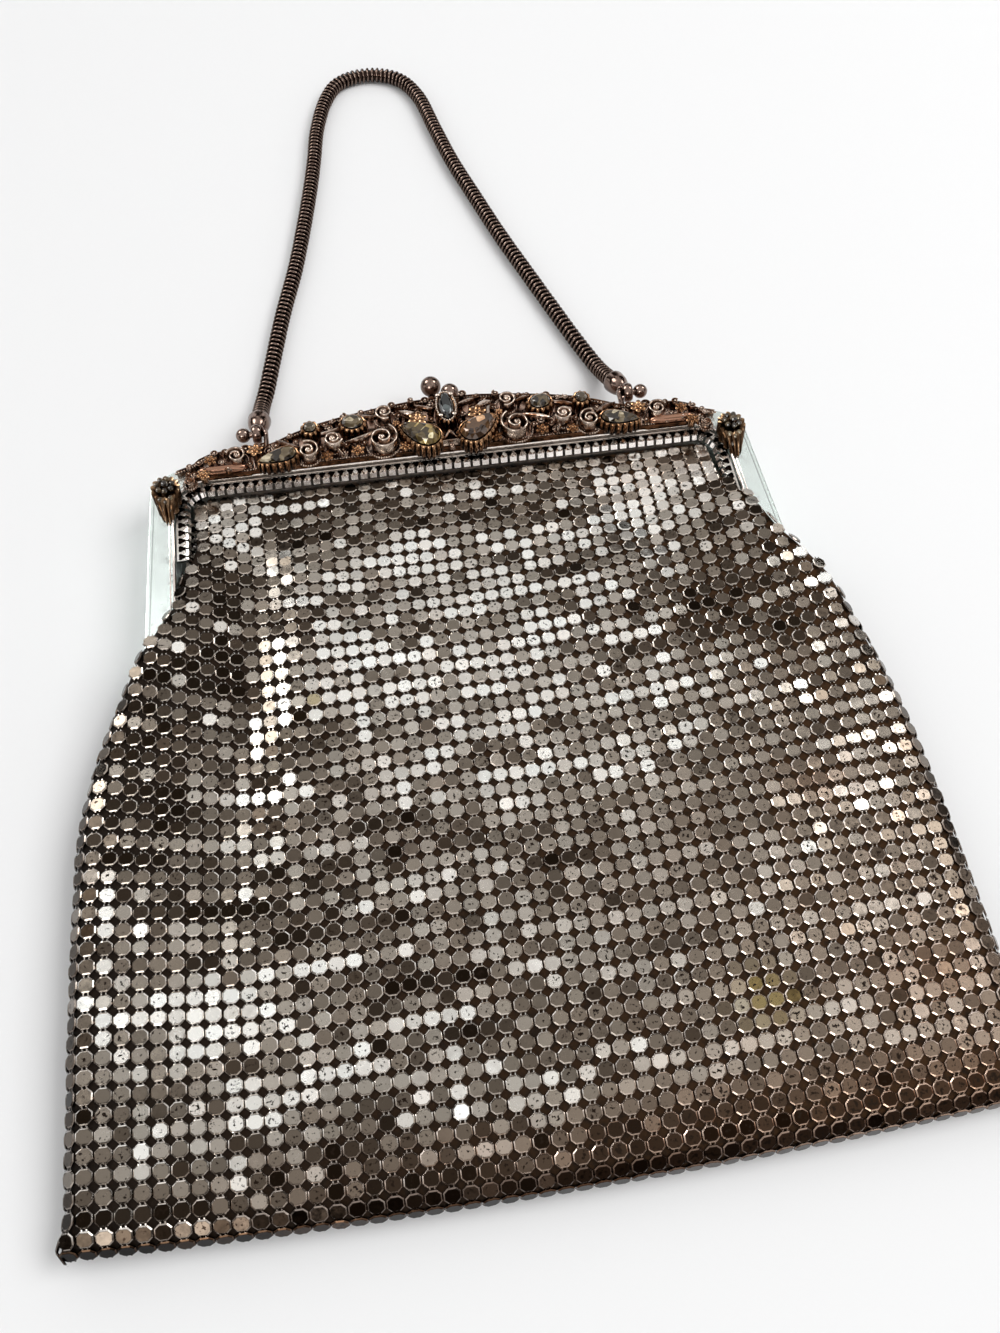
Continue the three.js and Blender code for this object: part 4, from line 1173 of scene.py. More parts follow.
def surface_sheet(name, inset, edge_of, top_y, finish):
    """Sheet that follows the pouch's surface at a depth: its front, its sides, bottom roll and back."""
    shape = Shape()
    runs = np.arange(top_y, BOTTOM_ROLL_Y - 1.6 * BOTTOM_ROLL, -SHEET_STEP)
    runs = np.append(runs, BOTTOM_ROLL_Y - BOTTOM_ROLL * math.pi / 2)
    shares = np.linspace(-1, 1, 71)
    for front in (True, False):
        rows = []
        for t in runs:
            reach_left, reach_right = edge_of(min(t, 83))
            s = np.where(shares < 0, shares * reach_left, shares * reach_right)
            here, _, _ = pouch_point(s, np.full_like(s, t), inset, front)
            rows.append(here)
        shape.rings(rows, ends=(False, False), around=False)
    made = shape.object(name, finish, smooth=True, closed=False)
    work = bmesh.new()
    work.from_mesh(made.data)
    bmesh.ops.remove_doubles(work, verts=work.verts, dist=0.05 * MM)
    bmesh.ops.recalc_face_normals(work, faces=work.faces)
    work.to_mesh(made.data)
    work.free()
    return made


def shaded_link_net():
    """The linked rings under the tiles, a sheet painted dark brown as the shade between them."""

    def edges(t):
        side = float(column("side", t))
        roll = side * SIDE_STRETCH * math.pi / 2
        left = float(column("left", t)) - side
        right = float(column("right", t)) - side
        if t > 36:
            return left + 0.4 * roll, right + 0.4 * roll
        return left + roll, right + roll

    return surface_sheet("mesh_links", LINK_DEPTH, edges, POUCH_MOUTH_Y - 0.2, SHADED_LINKS)


def make_lining():
    def edges(t):
        side = float(column("side", t))
        roll = side * SIDE_STRETCH * math.pi / 2
        left = float(column("left", t)) - side + roll
        right = float(column("right", t)) - side + roll
        limit = 62.5 + 1.0 * max(0.0, 30.0 - t)
        return min(left, limit), min(right, limit)

    made = surface_sheet("cloth_lining", LINING_DEPTH, edges, POUCH_MOUTH_Y - 3.5, LINING)
    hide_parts("lining")
    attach(made, BODY)


# Frame

ARCH = [
    (
        0.99, -0.005
    ), (0.961, 0.114), (0.921, 0.212), (0.845, 0.306), (0.824, 0.394), (0.789, 0.456), (0.737, 0.487),
    (
        0.605, 0.497
    ), (0.566, 0.554), (0.516, 0.648), (0.434, 0.762), (0.342, 0.845), (0.237, 0.917), (0.118, 0.974),
]


def on_plate(across, up):
    return across * FRAME_HALF_WIDTH, LIP_Y + up * ARCH_RISE


def arch_y(x):
    points = [on_plate(*row) for row in ARCH] + [(0, LIP_Y + ARCH_RISE)]
    xs = [p[0] for p in reversed(points)]
    ys = [p[1] for p in reversed(points)]
    return float(np.interp(abs(x), xs, ys))


def inner_edge(inset, end_y, steps=14):
    """Right half of the opening's edge from the leg's end to the top, moved in by inset."""
    radius = INNER_RADIUS - inset
    edge = LEG_INNER_X - inset
    points = [(edge, end_y)]
    for i in range(steps + 1):
        angle = i / steps * math.pi / 2
        points.append(
            (edge - radius + radius * math.cos(angle), LIP_Y - inset - radius + radius * math.sin(angle))
        )
    return points


def both_sides(right):
    return right + [(-x, y) for x, y in reversed(right)]


def plate_outline():
    tip = FRAME_HALF_WIDTH + LEG_SPLAY
    corner = on_plate(*ARCH[0])
    outer = [(tip, LEG_TIP_Y)]
    outer.append(corner)
    for i in range(len(ARCH) - 1):
        (x0, y0), (x1, y1) = on_plate(*ARCH[i]), on_plate(*ARCH[i + 1])
        outer.append(((x0 + x1) / 2, (y0 + y1) / 2))
        outer.append((x1, y1))
    return outer + [(0, LIP_Y + ARCH_RISE)] + [(-x, y) for x, y in reversed(outer)]


def flat_plate(name, low, high, finish, bevel):
    outline = plate_outline() + list(reversed(both_sides(inner_edge(0, LEG_TIP_Y))))
    work = bmesh.new()
    verts = [work.verts.new((x * MM, y * MM, low * MM)) for x, y in outline]
    face = work.faces.new(verts)
    grown = bmesh.ops.extrude_face_region(work, geom=[face])
    lifted = [v for v in grown["geom"] if isinstance(v, bmesh.types.BMVert)]
    bmesh.ops.translate(work, verts=lifted, vec=(0, 0, (high - low) * MM))
    bmesh.ops.recalc_face_normals(work, faces=work.faces)
    mesh = bpy.data.meshes.new(name)
    work.to_mesh(mesh)
    work.free()
    made = bpy.data.objects.new(name, mesh)
    bpy.context.collection.objects.link(made)
    mesh.materials.append(finish)
    for polygon in mesh.polygons:
        polygon.use_smooth = True
    soften(made, bevel)
    return applied(made)


def lip_bead():
    """Raised rounded edge round the opening, with a fine groove beside it."""
    shape = Shape()
    for inset, thick, top in ((-0.32, 0.55, 0.42), (-1.25, 0.34, 0.16)):
        path = both_sides(inner_edge(inset, LEG_TIP_Y + 0.8, 18))
        shape.wall(path, thick, FRONT_Z - 0.3, FRONT_Z + top, 0.16)
    return shape.object("frame_lip", LIP_SILVER)


def strip_unit():
    """One pitch of the perforated strip: a rounded three-cornered hole above a raised edge, with painted
    shade in the hole and a painted highlight on the edge.
    """
    width, thick = 2.8, 0.8
    shape = Shape()

    def hole(radius, z):
        turns = np.linspace(-math.pi / 2, 1.5 * math.pi, 17)[:-1]
        reach = [radius * (1 + 0.24 * math.cos(3 * (a + math.pi / 2))) for a in turns]
        return [(r * math.cos(a), 0.25 + r * math.sin(a), z) for r, a in zip(reach, turns)]

    half, top, low = STRIP_PITCH / 2 + 0.01, width / 2, -width / 2
    # The outer border has as many points as the hole, from below it and round
    right = [
        (half * 0.55, low),
        (half, low),
        (half, low + 0.7),
        (half, 0.2),
        (half, 0.8),
        (half, top),
        (half * 0.5, top)
    ]
    border = [(0.03, low), *right, (0, top), *[(-x, y) for x, y in reversed(right)]]
    rim = hole(0.86, 0.0)
    count = len(rim)
    raised = [(x, y, 0.3 if y == low else 0.0) for x, y in border]
    skirt = [(x, y - (0.6 if y == low else 0), -thick) for x, y in border]
    points = raised + rim + hole(0.78, -0.14) + hole(0.72, -0.4) + skirt
    faces = []
    for i in range(count):
        j = (i + 1) % count
        for a, b in ((0, 1), (1, 2), (2, 3), (4, 0)):
            if j or a in (1, 2):
                faces.append((a * count + i, a * count + j, b * count + j, b * count + i))
    faces.append(tuple(range(3 * count, 4 * count)))
    shape.add(points, faces)
    made = shape.object("strip_unit", None, smooth=False, closed=False)
    # Painted light for the strip: shade deepening into the hole, a highlight on the raised lower edge.
    deep = [0.0] * count + [-0.2] * count + [-1.0] * (2 * count) + [0.0] * count
    store(made.data, "lit", [1.0 if y < low + 0.1 else d for (x, y, z), d in zip(shape.points, deep)])
    return made


def walk(path, step, start=0.0):
    """Places and directions at even steps along a path of points."""
    points = [Vector(p) for p in path]
    lengths = [0.0]
    for a, b in zip(points, points[1:]):
        lengths.append(lengths[-1] + (b - a).length)
    found = []
    distance = start
    while distance <= lengths[-1]:
        i = min(max(np.searchsorted(lengths, distance) - 1, 0), len(points) - 2)
        share = (distance - lengths[i]) / max(lengths[i + 1] - lengths[i], 1e-9)
        spot = points[i].lerp(points[i + 1], share)
        way = (points[i + 1] - points[i]).normalized()
        found.append((spot, way))
        distance += step
    return found


def make_strips():
    unit = strip_unit()
    middle = both_sides(inner_edge(CLEARANCE + 1.4, 64.0))
    path = [(x, y, 0) for x, y in middle]
    total = sum((Vector(b) - Vector(a)).length for a, b in zip(path, path[1:]))
    count = round(total / STRIP_PITCH)
    step = total / count
    steps = walk(path, step, step / 2)
    for name, level, node, out in (
        ("front_perforated_strip", FRONT_STRIP_Z, "front_mesh_strip", 1),
        ("back_perforated_strip", BACK_STRIP_Z, "back_mesh_strip", -1)
    ):
        spots = [(s.x, s.y, level) for s, _ in steps]
        turns = [turn_of(-w if out > 0 else w, (0, 0, out)) for _, w in steps]
        made = repeat(name, unit, spots, turns, STRIP_SILVER, size=step / STRIP_PITCH)
        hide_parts(node)
        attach(made, BODY)
    drop(unit)


def make_frame():
    front = flat_plate("front_plate", HALF_DEPTH + CLEARANCE, FRONT_Z, PLATE, 0.45)
    back = flat_plate("back_plate", 0.02, HALF_DEPTH, PLATE, 0.6)
    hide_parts("front_frame")
    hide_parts("back_frame")
    lip = lip_bead()
    for made in (front, back, lip):
        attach(made, BODY)
    for side in (-1, 1):
        label = "left" if side < 0 else "right"
        shape = Shape()
        y = LEG_TIP_Y - CLEARANCE - 2.6
        z = HALF_DEPTH + CLEARANCE / 2
        start = side * (LEG_INNER_X + 1)
        length = FRAME_HALF_WIDTH + LEG_SPLAY - LEG_INNER_X - 1
        profile = [
            (1.6, 0),
            (2.3, 0.1),
            (2.55, 0.5),
            (2.55, length / 3 - 0.1),
            (2.3, length / 3),
            (2.55, length / 3 + 0.1)
        ]
        profile += [(2.55, 2 * length / 3 - 0.1), (2.3, 2 * length / 3), (2.55, 2 * length / 3 + 0.1)]
        profile += [(2.55, length - 0.5), (2.3, length - 0.1), (1.6, length)]
        shape.lathe(profile, (start, y, z), (side, 0, 0), 24)
        made = smooth_by_angle(shape.object(f"hinge_knuckles_{label}", LEG_SILVER), ROUND_CREASE)
        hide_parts(f"hinge_pin_{label}")
        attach(made, BODY)


# Cast ornament, in pairs on both sides: places and sizes as in the model

SCROLLS = table(
    "across up radius top curl",
    (0.701, 0.212, 0.14, 0.85, 20),
    (0.468, 0.161, 0.155, 0.9, 70),
    (0.383, 0.28, 0.13, 1, 200),
    (0.222, 0.215, 0.215, 1, 120),
    (0.205, 0.64, 0.135, 0.95, 250),
    (0.855, -0.08, 0.08, 0.6, 150),
)
ROSETTES = table(
    "across up radius top",
    (0.638, 0.26, 0.105, 0.9),
    (0.408, 0.085, 0.085, 0.6),
    (0.307, 0.115, 0.09, 0.65),
    (0.15, 0.09, 0.085, 0.65),
    (0.1, 0.44, 0.12, 1.05),
    (0.808, -0.02, 0.09, 0.75),
    (0.172, 0.42, 0.05, 1),
    (0.785, 0.22, 0.085, 0.65),
)
LEAVES = table(
    "across up long wide turn top",
    (0.363, 0.11, 0.17, 0.08, 60, 0.75),
    (0.128, 0.59, 0.24, 0.09, 15, 1),
    (0.295, 0.3, 0.42, 0.07, -18, 0.85),
    (0.53, 0.36, 0.36, 0.1, 28, 0.6),
    (0.385, 0.52, 0.5, 0.08, -14, 0.6),
    (0.265, 0.67, 0.26, 0.08, 10, 0.65),
    (0.07, 0.71, 0.3, 0.08, 20, 0.7),
)
STONES = table(
    "name form across up long wide turn top",
    ("pear_stone", "pear", 0.098, 0.19, 0.57, 0.33, 33, 1),
    ("long_stone", "pear", 0.566, 0.1, 0.5, 0.22, -14, 0.85),
    ("oval_stone", "ellipse", 0.314, 0.5, 0.3, 0.24, 8, 1),
    ("round_stone", "ellipse", 0.454, 0.49, 0.18, 0.18, 0, 1),
)
NAVETTE = {
    "name": "navette_stone", "form": "ellipse", "across": 0, "up": 0.56, "long": 0.46, "wide": 0.22,
    "turn": 90, "top": 1.15
}
SHELL = {
    "name": "shell_stone", "form": "ellipse", "across": 0.928, "up": -0.2, "long": 0.29, "wide": 0.29,
    "turn": -88, "top": 0.95
}
SHELL_APRON = {"form": "pear", "across": 0.928, "up": -0.33, "long": 0.58, "wide": 0.3, "turn": -88}


def turned(row):
    """The same row on the left side."""
    return {
        **row, "across": -row["across"], "turn": 180 - row.get("turn", 0),
        "curl": 180 - row.get("curl", 0), "hand": -1
    }


def on_both(rows):
    return list(rows) + [turned(row) for row in rows]


def stone_outline(stone, grow, count):
    x, y = on_plate(stone["across"], stone["up"])
    long = stone["long"] * ARCH_RISE / 2 + grow
    wide = stone["wide"] * ARCH_RISE / 2 + grow
    turn = math.radians(stone["turn"])
    points = []
    for i in range(count):
        angle = 2 * math.pi * i / count
        narrow = 1 - 0.42 * math.cos(angle) if stone["form"] == "pear" else 1
        u, v = long * math.cos(angle), wide * math.sin(angle) * narrow
        points.append(beside((x, y), u, v, turn))
    return points


def ribbed_ring(stone, out, depth, z, count):
    """Ring round a stone that swells out at every rib."""
    outline = stone_outline(stone, 0, count)
    ring = []
    for i, (x, y) in enumerate(outline):
        before, after = outline[i - 1], outline[(i + 1) % count]
        dx, dy = after[0] - before[0], after[1] - before[1]
        size = math.hypot(dx, dy) or 1
        push = out + depth * abs(math.sin(math.pi * i / 6))
        ring.append((x + dy / size * push, y - dx / size * push, z))
    return ring


def gallery(shape, stone, foot):
    """Cup that holds a stone on long ribs, open at its rim."""
    ribs = max(10, round((stone["long"] + stone["wide"]) * ARCH_RISE * 1.3))
    count = ribs * 6
    high = CAST_FOOT_Z + stone["top"] * CAST_HEIGHT
    tall = high - foot
    rows = (
        (0.1, foot, 0.5),
        (0.35, foot + 0.35 * tall, 0.62),
        (0.2, high - 0.9, 0.62),
        (0.12, high - 0.25, 0.5),
        (0.1, high, 0.1)
    )
    rings = [ribbed_ring(stone, out, depth, z, count) for out, z, depth in rows]
    rings.append(ribbed_ring(stone, 0.02, 0, high - 0.05, count))
    rings.append(ribbed_ring(stone, 0.02, 0, high - 1.1, count))
    shape.rings(rings)
    return high


def rim_beads(stone, grow, spacing, high):
    outline = stone_outline(stone, grow, 90)
    path = [(x, y, high) for x, y in outline + outline[:1]]
    return [tuple(spot) for spot, _ in walk(path, spacing)]


def cut_stone(shape, stone, sides=16, lift=0.0):
    """Cut stone: girdle, two rows of crown facets and a table."""
    low = CAST_FOOT_Z + stone["top"] * CAST_HEIGHT - 0.5 + lift
    width = stone["wide"] * ARCH_RISE
    rows = ((-0.24 * width, low, 0), (-CLEARANCE, low + 0.55, 0), (-CLEARANCE, low + 0.7, 0.5))
    rows += (
        (-CLEARANCE - 0.11 * width, low + 0.7 + 0.17 * width, 0),
        (-CLEARANCE - 0.2 * width, low + 0.6 + 0.25 * width, 0.5)
    )
    rings = []
    for grow, z, shift in rows:
        outline = stone_outline(stone, grow, sides * 2)
        picked = outline[int(shift * 2) :: 2] if shift else outline[::2]
        rings.append([(x, y, z) for x, y in picked])
    shape.rings(rings)


def spiral_path(x, y, reach, curl, hand, turns=1.75, inner=0.16, steps=44):
    """Spiral from its outer end inwards."""
    points = []
    for i in range(steps + 1):
        share = i / steps
        angle = math.radians(curl) + hand * share * turns * 2 * math.pi
        radius = reach * (1 - share * (1 - inner))
        points.append((x + radius * math.cos(angle), y + radius * math.sin(angle)))
    return points


def scroll(shape, beads, row):
    x, y = on_plate(row["across"], row["up"])
    reach = row["radius"] * ARCH_RISE
    high = CAST_FOOT_Z + row["top"] * CAST_HEIGHT
    hand = row.get("hand", 1)
    path = spiral_path(x, y, reach - 0.2, row["curl"], hand)
    shape.wall(path, 0.5, CAST_FOOT_Z, high, 0.14)
    shape.ball((x, y, high - 0.45), (0.62, 0.62, 0.55))
    shape.lathe([(0.5, 0), (0.42, high - CAST_FOOT_Z - 0.5)], (x, y, CAST_FOOT_Z), (0, 0, 1), 8)
    low_ring = [
        (x + (reach + 0.12) * math.cos(a), y + (reach + 0.12) * math.sin(a), CAST_FOOT_Z + 0.9)
        for a in np.linspace(0, 2 * math.pi, 40)
    ]
    beads.extend(tuple(s) for s, _ in walk(low_ring, 0.62))


def rosette(shape, row, petals=6):
    x, y = on_plate(row["across"], row["up"])
    reach = row["radius"] * ARCH_RISE
    high = CAST_FOOT_Z + row["top"] * CAST_HEIGHT
    for i in range(petals):
        angle = 2 * math.pi * (i + 0.3) / petals
        cx, cy = x + 0.62 * reach * math.cos(angle), y + 0.62 * reach * math.sin(angle)
        shape.ball((cx, cy, high - 0.55), (0.46 * reach, 0.34 * reach, 0.42), angle, 8, 5)
    shape.ball((x, y, high - 0.35), (0.3 * reach, 0.3 * reach, 0.4), 0, 8, 5)
    shape.lathe(
        [(reach * 0.5, 0), (reach * 0.75, high - CAST_FOOT_Z - 0.7)], (x, y, CAST_FOOT_Z), (0, 0, 1), 10
    )


def leaf(shape, row):
    x, y = on_plate(row["across"], row["up"])
    turn = math.radians(row["turn"])
    high = CAST_FOOT_Z + row["top"] * CAST_HEIGHT
    long, wide = row["long"] * ARCH_RISE / 2, row["wide"] * ARCH_RISE / 2
    rings = []
    steps = 13
    for i in range(steps):
        share = -1 + 2 * i / (steps - 1)
        notch = 1 - 0.22 * (i % 2)
        width = wide * max(0.08, (1 - share * share) ** 0.6) * notch
        bend = 0.12 * long * (1 - share * share)
        crown = high - 0.5 * share * share
        section = (
            (-1, crown - 1.3),
            (-1, crown - 0.6),
            (-0.5, crown - 0.2),
            (0, crown),
            (0.5, crown - 0.2),
            (1, crown - 0.6),
            (1, crown - 1.3)
        )
        ring = []
        for across, z in section:
            u, v = share * long, across * width + bend
            ring.append((*beside((x, y), u, v, turn), z))
        rings.append(ring)
    shape.rings(rings)


def tendrils(shape, beads, taken):
    """Small wire scrolls that fill the ground between the larger ornament."""
    generator = np.random.default_rng(5)
    placed = []
    for _ in range(900):
        across = generator.uniform(0.0, 0.86)
        x = across * FRAME_HALF_WIDTH
        room = arch_y(x) - LIP_Y
        y = LIP_Y + generator.uniform(0.1, 0.9) * room
        reach = generator.uniform(0.75, 1.35)
        if y + reach > arch_y(x) - 0.5 or y - reach < LIP_Y - 0.6:
            continue
        if any(math.hypot(x - px, y - py) < reach + pr for px, py, pr in taken + placed):
            continue
        placed.append((x, y, reach + 0.1))
        for side in (-1, 1):
            path = spiral_path(side * x, y, reach, generator.uniform(0, 360), side, 1.3, 0.25, 22)
            top = CAST_FOOT_Z + generator.uniform(1.3, 2.6)
            shape.wall(path, 0.38, CAST_FOOT_Z - 0.3, top, 0.12)
            beads.append((side * x, y, top - 0.1))


def border_wires(shape, beads):
    """Wire borders along the arch and above the lip, with a row of grains beside each."""
    upper = []
    for across in np.linspace(-0.9, 0.9, 121):
        x = across * FRAME_HALF_WIDTH
        upper.append((x, arch_y(x) - 1.5))
    lower = [(x, LIP_Y + 0.75 - (0.4 if abs(x) > 50 else 0)) for x in np.linspace(-66, 66, 60)]
    for path in (upper, lower):
        shape.wall(path, 0.55, CAST_FOOT_Z - 0.4, CAST_FOOT_Z + 1.0, 0.2)
    beads.extend(tuple(s) for s, _ in walk([(x, y - 0.7, CAST_FOOT_Z + 0.8) for x, y in upper], 0.72))
    beads.extend(tuple(s) for s, _ in walk([(x, y + 0.6, CAST_FOOT_Z + 0.8) for x, y in lower], 0.72))


def bead_unit(radius):
    work = bmesh.new()
    bmesh.ops.create_icosphere(work, subdivisions=1, radius=radius * MM)
    mesh = bpy.data.meshes.new("grain")
    work.to_mesh(mesh)
    work.free()
    for polygon in mesh.polygons:
        polygon.use_smooth = True
    made = bpy.data.objects.new("grain", mesh)
    bpy.context.collection.objects.link(made)
    return made


def make_ornament():
    shape = Shape()
    beads = []
    border_wires(shape, beads)
    for row in on_both(SCROLLS):
        scroll(shape, beads, row)
    cups = Shape()
    for row in on_both(ROSETTES):
        rosette(cups, row)
    for row in on_both(LEAVES):
        leaf(shape, row)
    for stone in on_both(STONES) + [NAVETTE]:
        high = gallery(cups, stone, CAST_FOOT_Z)
        if stone is NAVETTE:
            beads.extend(rim_beads(stone, 0.3, 0.7, high))
    taken = []
    for row in SCROLLS + ROSETTES:
        x, y = on_plate(row["across"], row["up"])
        taken.append((x, y, row["radius"] * ARCH_RISE * 0.9))
    for stone in STONES + [NAVETTE]:
        x, y = on_plate(stone["across"], stone["up"])
        for share in (-0.5, 0, 0.5):
            u = share * stone["long"] * ARCH_RISE * 0.7
            turn = math.radians(stone["turn"])
            taken.append((x + u * math.cos(turn), y + u * math.sin(turn), stone["wide"] * ARCH_RISE * 0.6))
    tendrils(shape, beads, taken)
    x, y = on_plate(0, 0.12)
    corner = [
        (x + 2.2 * math.cos(a), y + 2.2 * math.sin(a))
        for a in (math.pi / 2 + i * 2 * math.pi / 3 for i in range(4))
    ]
    shape.wall(corner, 0.6, CAST_FOOT_Z, CAST_FOOT_Z + 3.4, 0.15)
    shape.ball((x, y - 2.6, CAST_FOOT_Z + 2.4), (0.9, 0.9, 0.9))
    for quarter in range(4):
        outline = stone_outline(NAVETTE, 0.3, 16)
        px, py = outline[(2, 6, 10, 14)[quarter]]
        shape.lathe(
            [(0.35, 0), (0.35, 5.2), (0.5, 5.4), (0.5, 5.8), (0.2, 6.0)], (px, py, CAST_FOOT_Z),
            (0, 0, 1), 8
        )
    casting = mark_crests(smooth_by_angle(shape.object("cast_ornament", ANTIQUE)))
    unit = bead_unit(0.34)
    grains = mark_crests(
        repeat("ornament_grains", unit, beads, [(0, 0, 0)] * len(beads), ANTIQUE, size_spread=0.12, seed=3)
    )
    drop(unit)
    holders = mark_crests(smooth_by_angle(cups.object("stone_cups", CUP_METAL)))
    for made in (casting, grains, holders):
        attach(made, BODY)
    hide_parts("filigree")

    for stone in on_both(STONES) + [NAVETTE]:
        label = "" if stone is NAVETTE else "_left" if stone["across"] < 0 else "_right"
        shape = Shape()
        cut_stone(shape, stone)
        black = stone is NAVETTE
        finish = BLACK_STONE if black else SMOKY
        if stone["name"] == "pear_stone":
            finish = YELLOW_SMOKE if stone["across"] < 0 else ORANGE_SMOKE
        made = shape.object(f"cut_{stone['name']}{label}", finish, smooth=False)
        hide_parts(f"{stone['name']}{label}")
        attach(made, BODY)

    for side in (-1, 1):
        bar = Shape()
        rings = []
        for share in np.linspace(-1, 1, 15):
            size = max(0.12, (1 - share**4) ** 0.5)
            x = side * (0.75 + 0.085 * share) * FRAME_HALF_WIDTH
            rings.append([
                (x, LIP_Y + 1.7 + 1.15 * size * math.cos(a), CAST_FOOT_Z + 1.0 + 1.5 * size * math.sin(a))
                for a in circle(16)
            ])
        bar.rings(rings)
        made = bar.object(f"copper_bar_{'left' if side < 0 else 'right'}", COPPER)
        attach(made, BODY)

    for row, apron in zip(on_both([SHELL]), on_both([SHELL_APRON])):
        corner_shell(row, apron)


def between(first, second, share):
    """Ring part way from one ring to another."""
    return [tuple(a + share * (b - a) for a, b in zip(p, q)) for p, q in zip(first, second)]


def corner_shell(row, apron):
    """Corner cluster: small stones heaped like a shell on a ribbed apron that narrows down the leg."""
    label = "left" if row["across"] < 0 else "right"
    count = 13 * 6
    high = CAST_FOOT_Z + row["top"] * CAST_HEIGHT
    foot = FRONT_Z + 0.35
    shape = Shape()
    low_ring = ribbed_ring(apron, -0.6, 0.75, foot, count)
    top_ring = ribbed_ring(row, 0.1, 0.7, high - 0.5, count)
    rings = [low_ring]
    for share, bulge in ((0.3, 0.5), (0.6, 0.7), (0.85, 0.4)):
        ring = between(low_ring, top_ring, share)
        rings.append([(x, y, z + bulge) for x, y, z in ring])
    rings.append(top_ring)
    rings.append(ribbed_ring(row, -0.5, 0.0, high - 0.8, count))
    shape.rings(rings)
    x, y = on_plate(row["across"], row["up"])
    cup = mark_crests(smooth_by_angle(shape.object(f"shell_cup_{label}", SHELL_METAL)))
    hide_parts(f"corner_shell_{label}")
    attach(cup, BODY)
    shape = Shape()
    spots = [(0.2, 0.1, 1.0, 0.75)]
    for i in range(7):
        angle = 2 * math.pi * (i + 0.3) / 7
        spots.append((1.85 * math.cos(angle), 1.85 * math.sin(angle), 0.8, 0.2 + 0.15 * (i % 2)))
    spots += [
        (-1.3, -3.3, 0.75, -0.9),
        (1.2, -3.2, 0.75, -0.8),
        (0.0, -4.0, 0.8, -1.3),
        (-0.7, -5.4, 0.65, -2.4),
        (0.6, -5.5, 0.6, -2.6)
    ]
    for u, v, reach, lift in spots:
        small = {
            "form": "ellipse",
            "across": (x + u) / FRAME_HALF_WIDTH,
            "up": (y + v - LIP_Y) / ARCH_RISE,
            "long": 2 * reach / ARCH_RISE * 1.25,
            "wide": 2 * reach / ARCH_RISE * 1.25,
            "turn": 0,
            "top": row["top"],
        }
        cut_stone(shape, small, 8, lift)
    made = shape.object(f"shell_stones_{label}", SMOKY, smooth=False)
    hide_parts(f"shell_stone_{label}")
    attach(made, BODY)


# Clasp, posts and chain


def make_clasp():
    for side, radius, rise, z, foot_z, name in (
        (1, 2.4, 3.1, 10.71, 9.45, "front"),
        (-1, 2.7, 7.1, 9.45, 3.78, "back")
    ):
        shape = Shape()
        x = side * 2.3
        top_y = LIP_Y + ARCH_RISE + CLEARANCE
        centre = Vector((x, LIP_Y + ARCH_RISE + rise, z))
        foot = Vector((x, top_y, foot_z))
        way = (centre - foot).normalized()
        length = (centre - foot).length
        shape.lathe([(1.9, 0.0), (1.9, 0.5), (1.3, 0.8), (1.0, 1.0)], foot, (0, 1, 0), 20)
        shape.lathe([(1.05, 0.5), (0.95, length * 0.55), (1.15, length - radius * 0.95)], foot, way, 16)
        profile = []
        for i in range(17):
            angle = -math.pi / 2 + math.pi * max(0.02, min(0.98, i / 16))
            profile.append((radius * math.cos(angle), radius * math.sin(angle)))
        shape.lathe(profile, centre, way, 28)
        made = mark_crests(smooth_by_angle(shape.object(f"kiss_ball_{name}", CLASP_METAL), ROUND_CREASE))
        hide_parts(f"clasp_ball_{name}")
        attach(made, BODY)


POST_X = 48.4
POST_FOOT_Y = arch_y(POST_X - 3) + CLEARANCE
STUD_Y = POST_FOOT_Y + 5.2
STUD_Z = 11.0
CAP_LENGTH = 9

# Middle line of the chain on the table, from the left end to the right end, as in the model
CHAIN_ROUTE = [
    (
        -47.6, 117.5, 3.4
    ), (-46, 125, 2.3), (-44, 134.3, 2.2), (-39.8, 153.1, 2.2), (-35.1, 171, 2.2), (-31.5, 187.8, 2.2),
    (
        -28.1, 205.5, 2.2
    ), (-25.8, 219.5, 2.2), (-23.7, 234.1, 2.2), (-19.9, 248.2, 2.2), (-14.6, 257, 2.2), (-5, 260.3, 2.2),
    (4.6, 256.8, 2.2), (
        10.3, 246.6, 2.2
    ), (13.6, 229.5, 2.2), (16.9, 213, 2.2), (21.6, 195.1, 2.2), (26.5, 177.1, 2.2),
    (31.4, 161.2, 2.2), (36.2, 145.9, 2.2), (39.9, 134.2, 2.2), (43, 125, 2.3), (45.3, 117.5, 3.4),
]


def cap_line(side):
    stud = Vector((side * POST_X, STUD_Y, STUD_Z))
    end = Vector(CHAIN_ROUTE[0] if side < 0 else CHAIN_ROUTE[-1])
    along = (end - stud).normalized()
    return stud, along


def smooth_route(points, step):
    """Even steps along a smooth curve through the points."""
    points = [Vector(p) for p in points]
    line = []
    for i in range(len(points) - 1):
        a = points[max(0, i - 1)]
        b, c = points[i], points[i + 1]
        d = points[min(len(points) - 1, i + 2)]
        for k in range(12):
            t = k / 12
            line.append(
                0.5 * (
                    (2 * b) + (c - a) * t + (
                        2 * a - 5 * b + 4 * c - d
                    ) * t * t + (3 * b - a - 3 * c + d) * t**3
                )
            )
    line.append(points[-1])
    return walk(line, step)


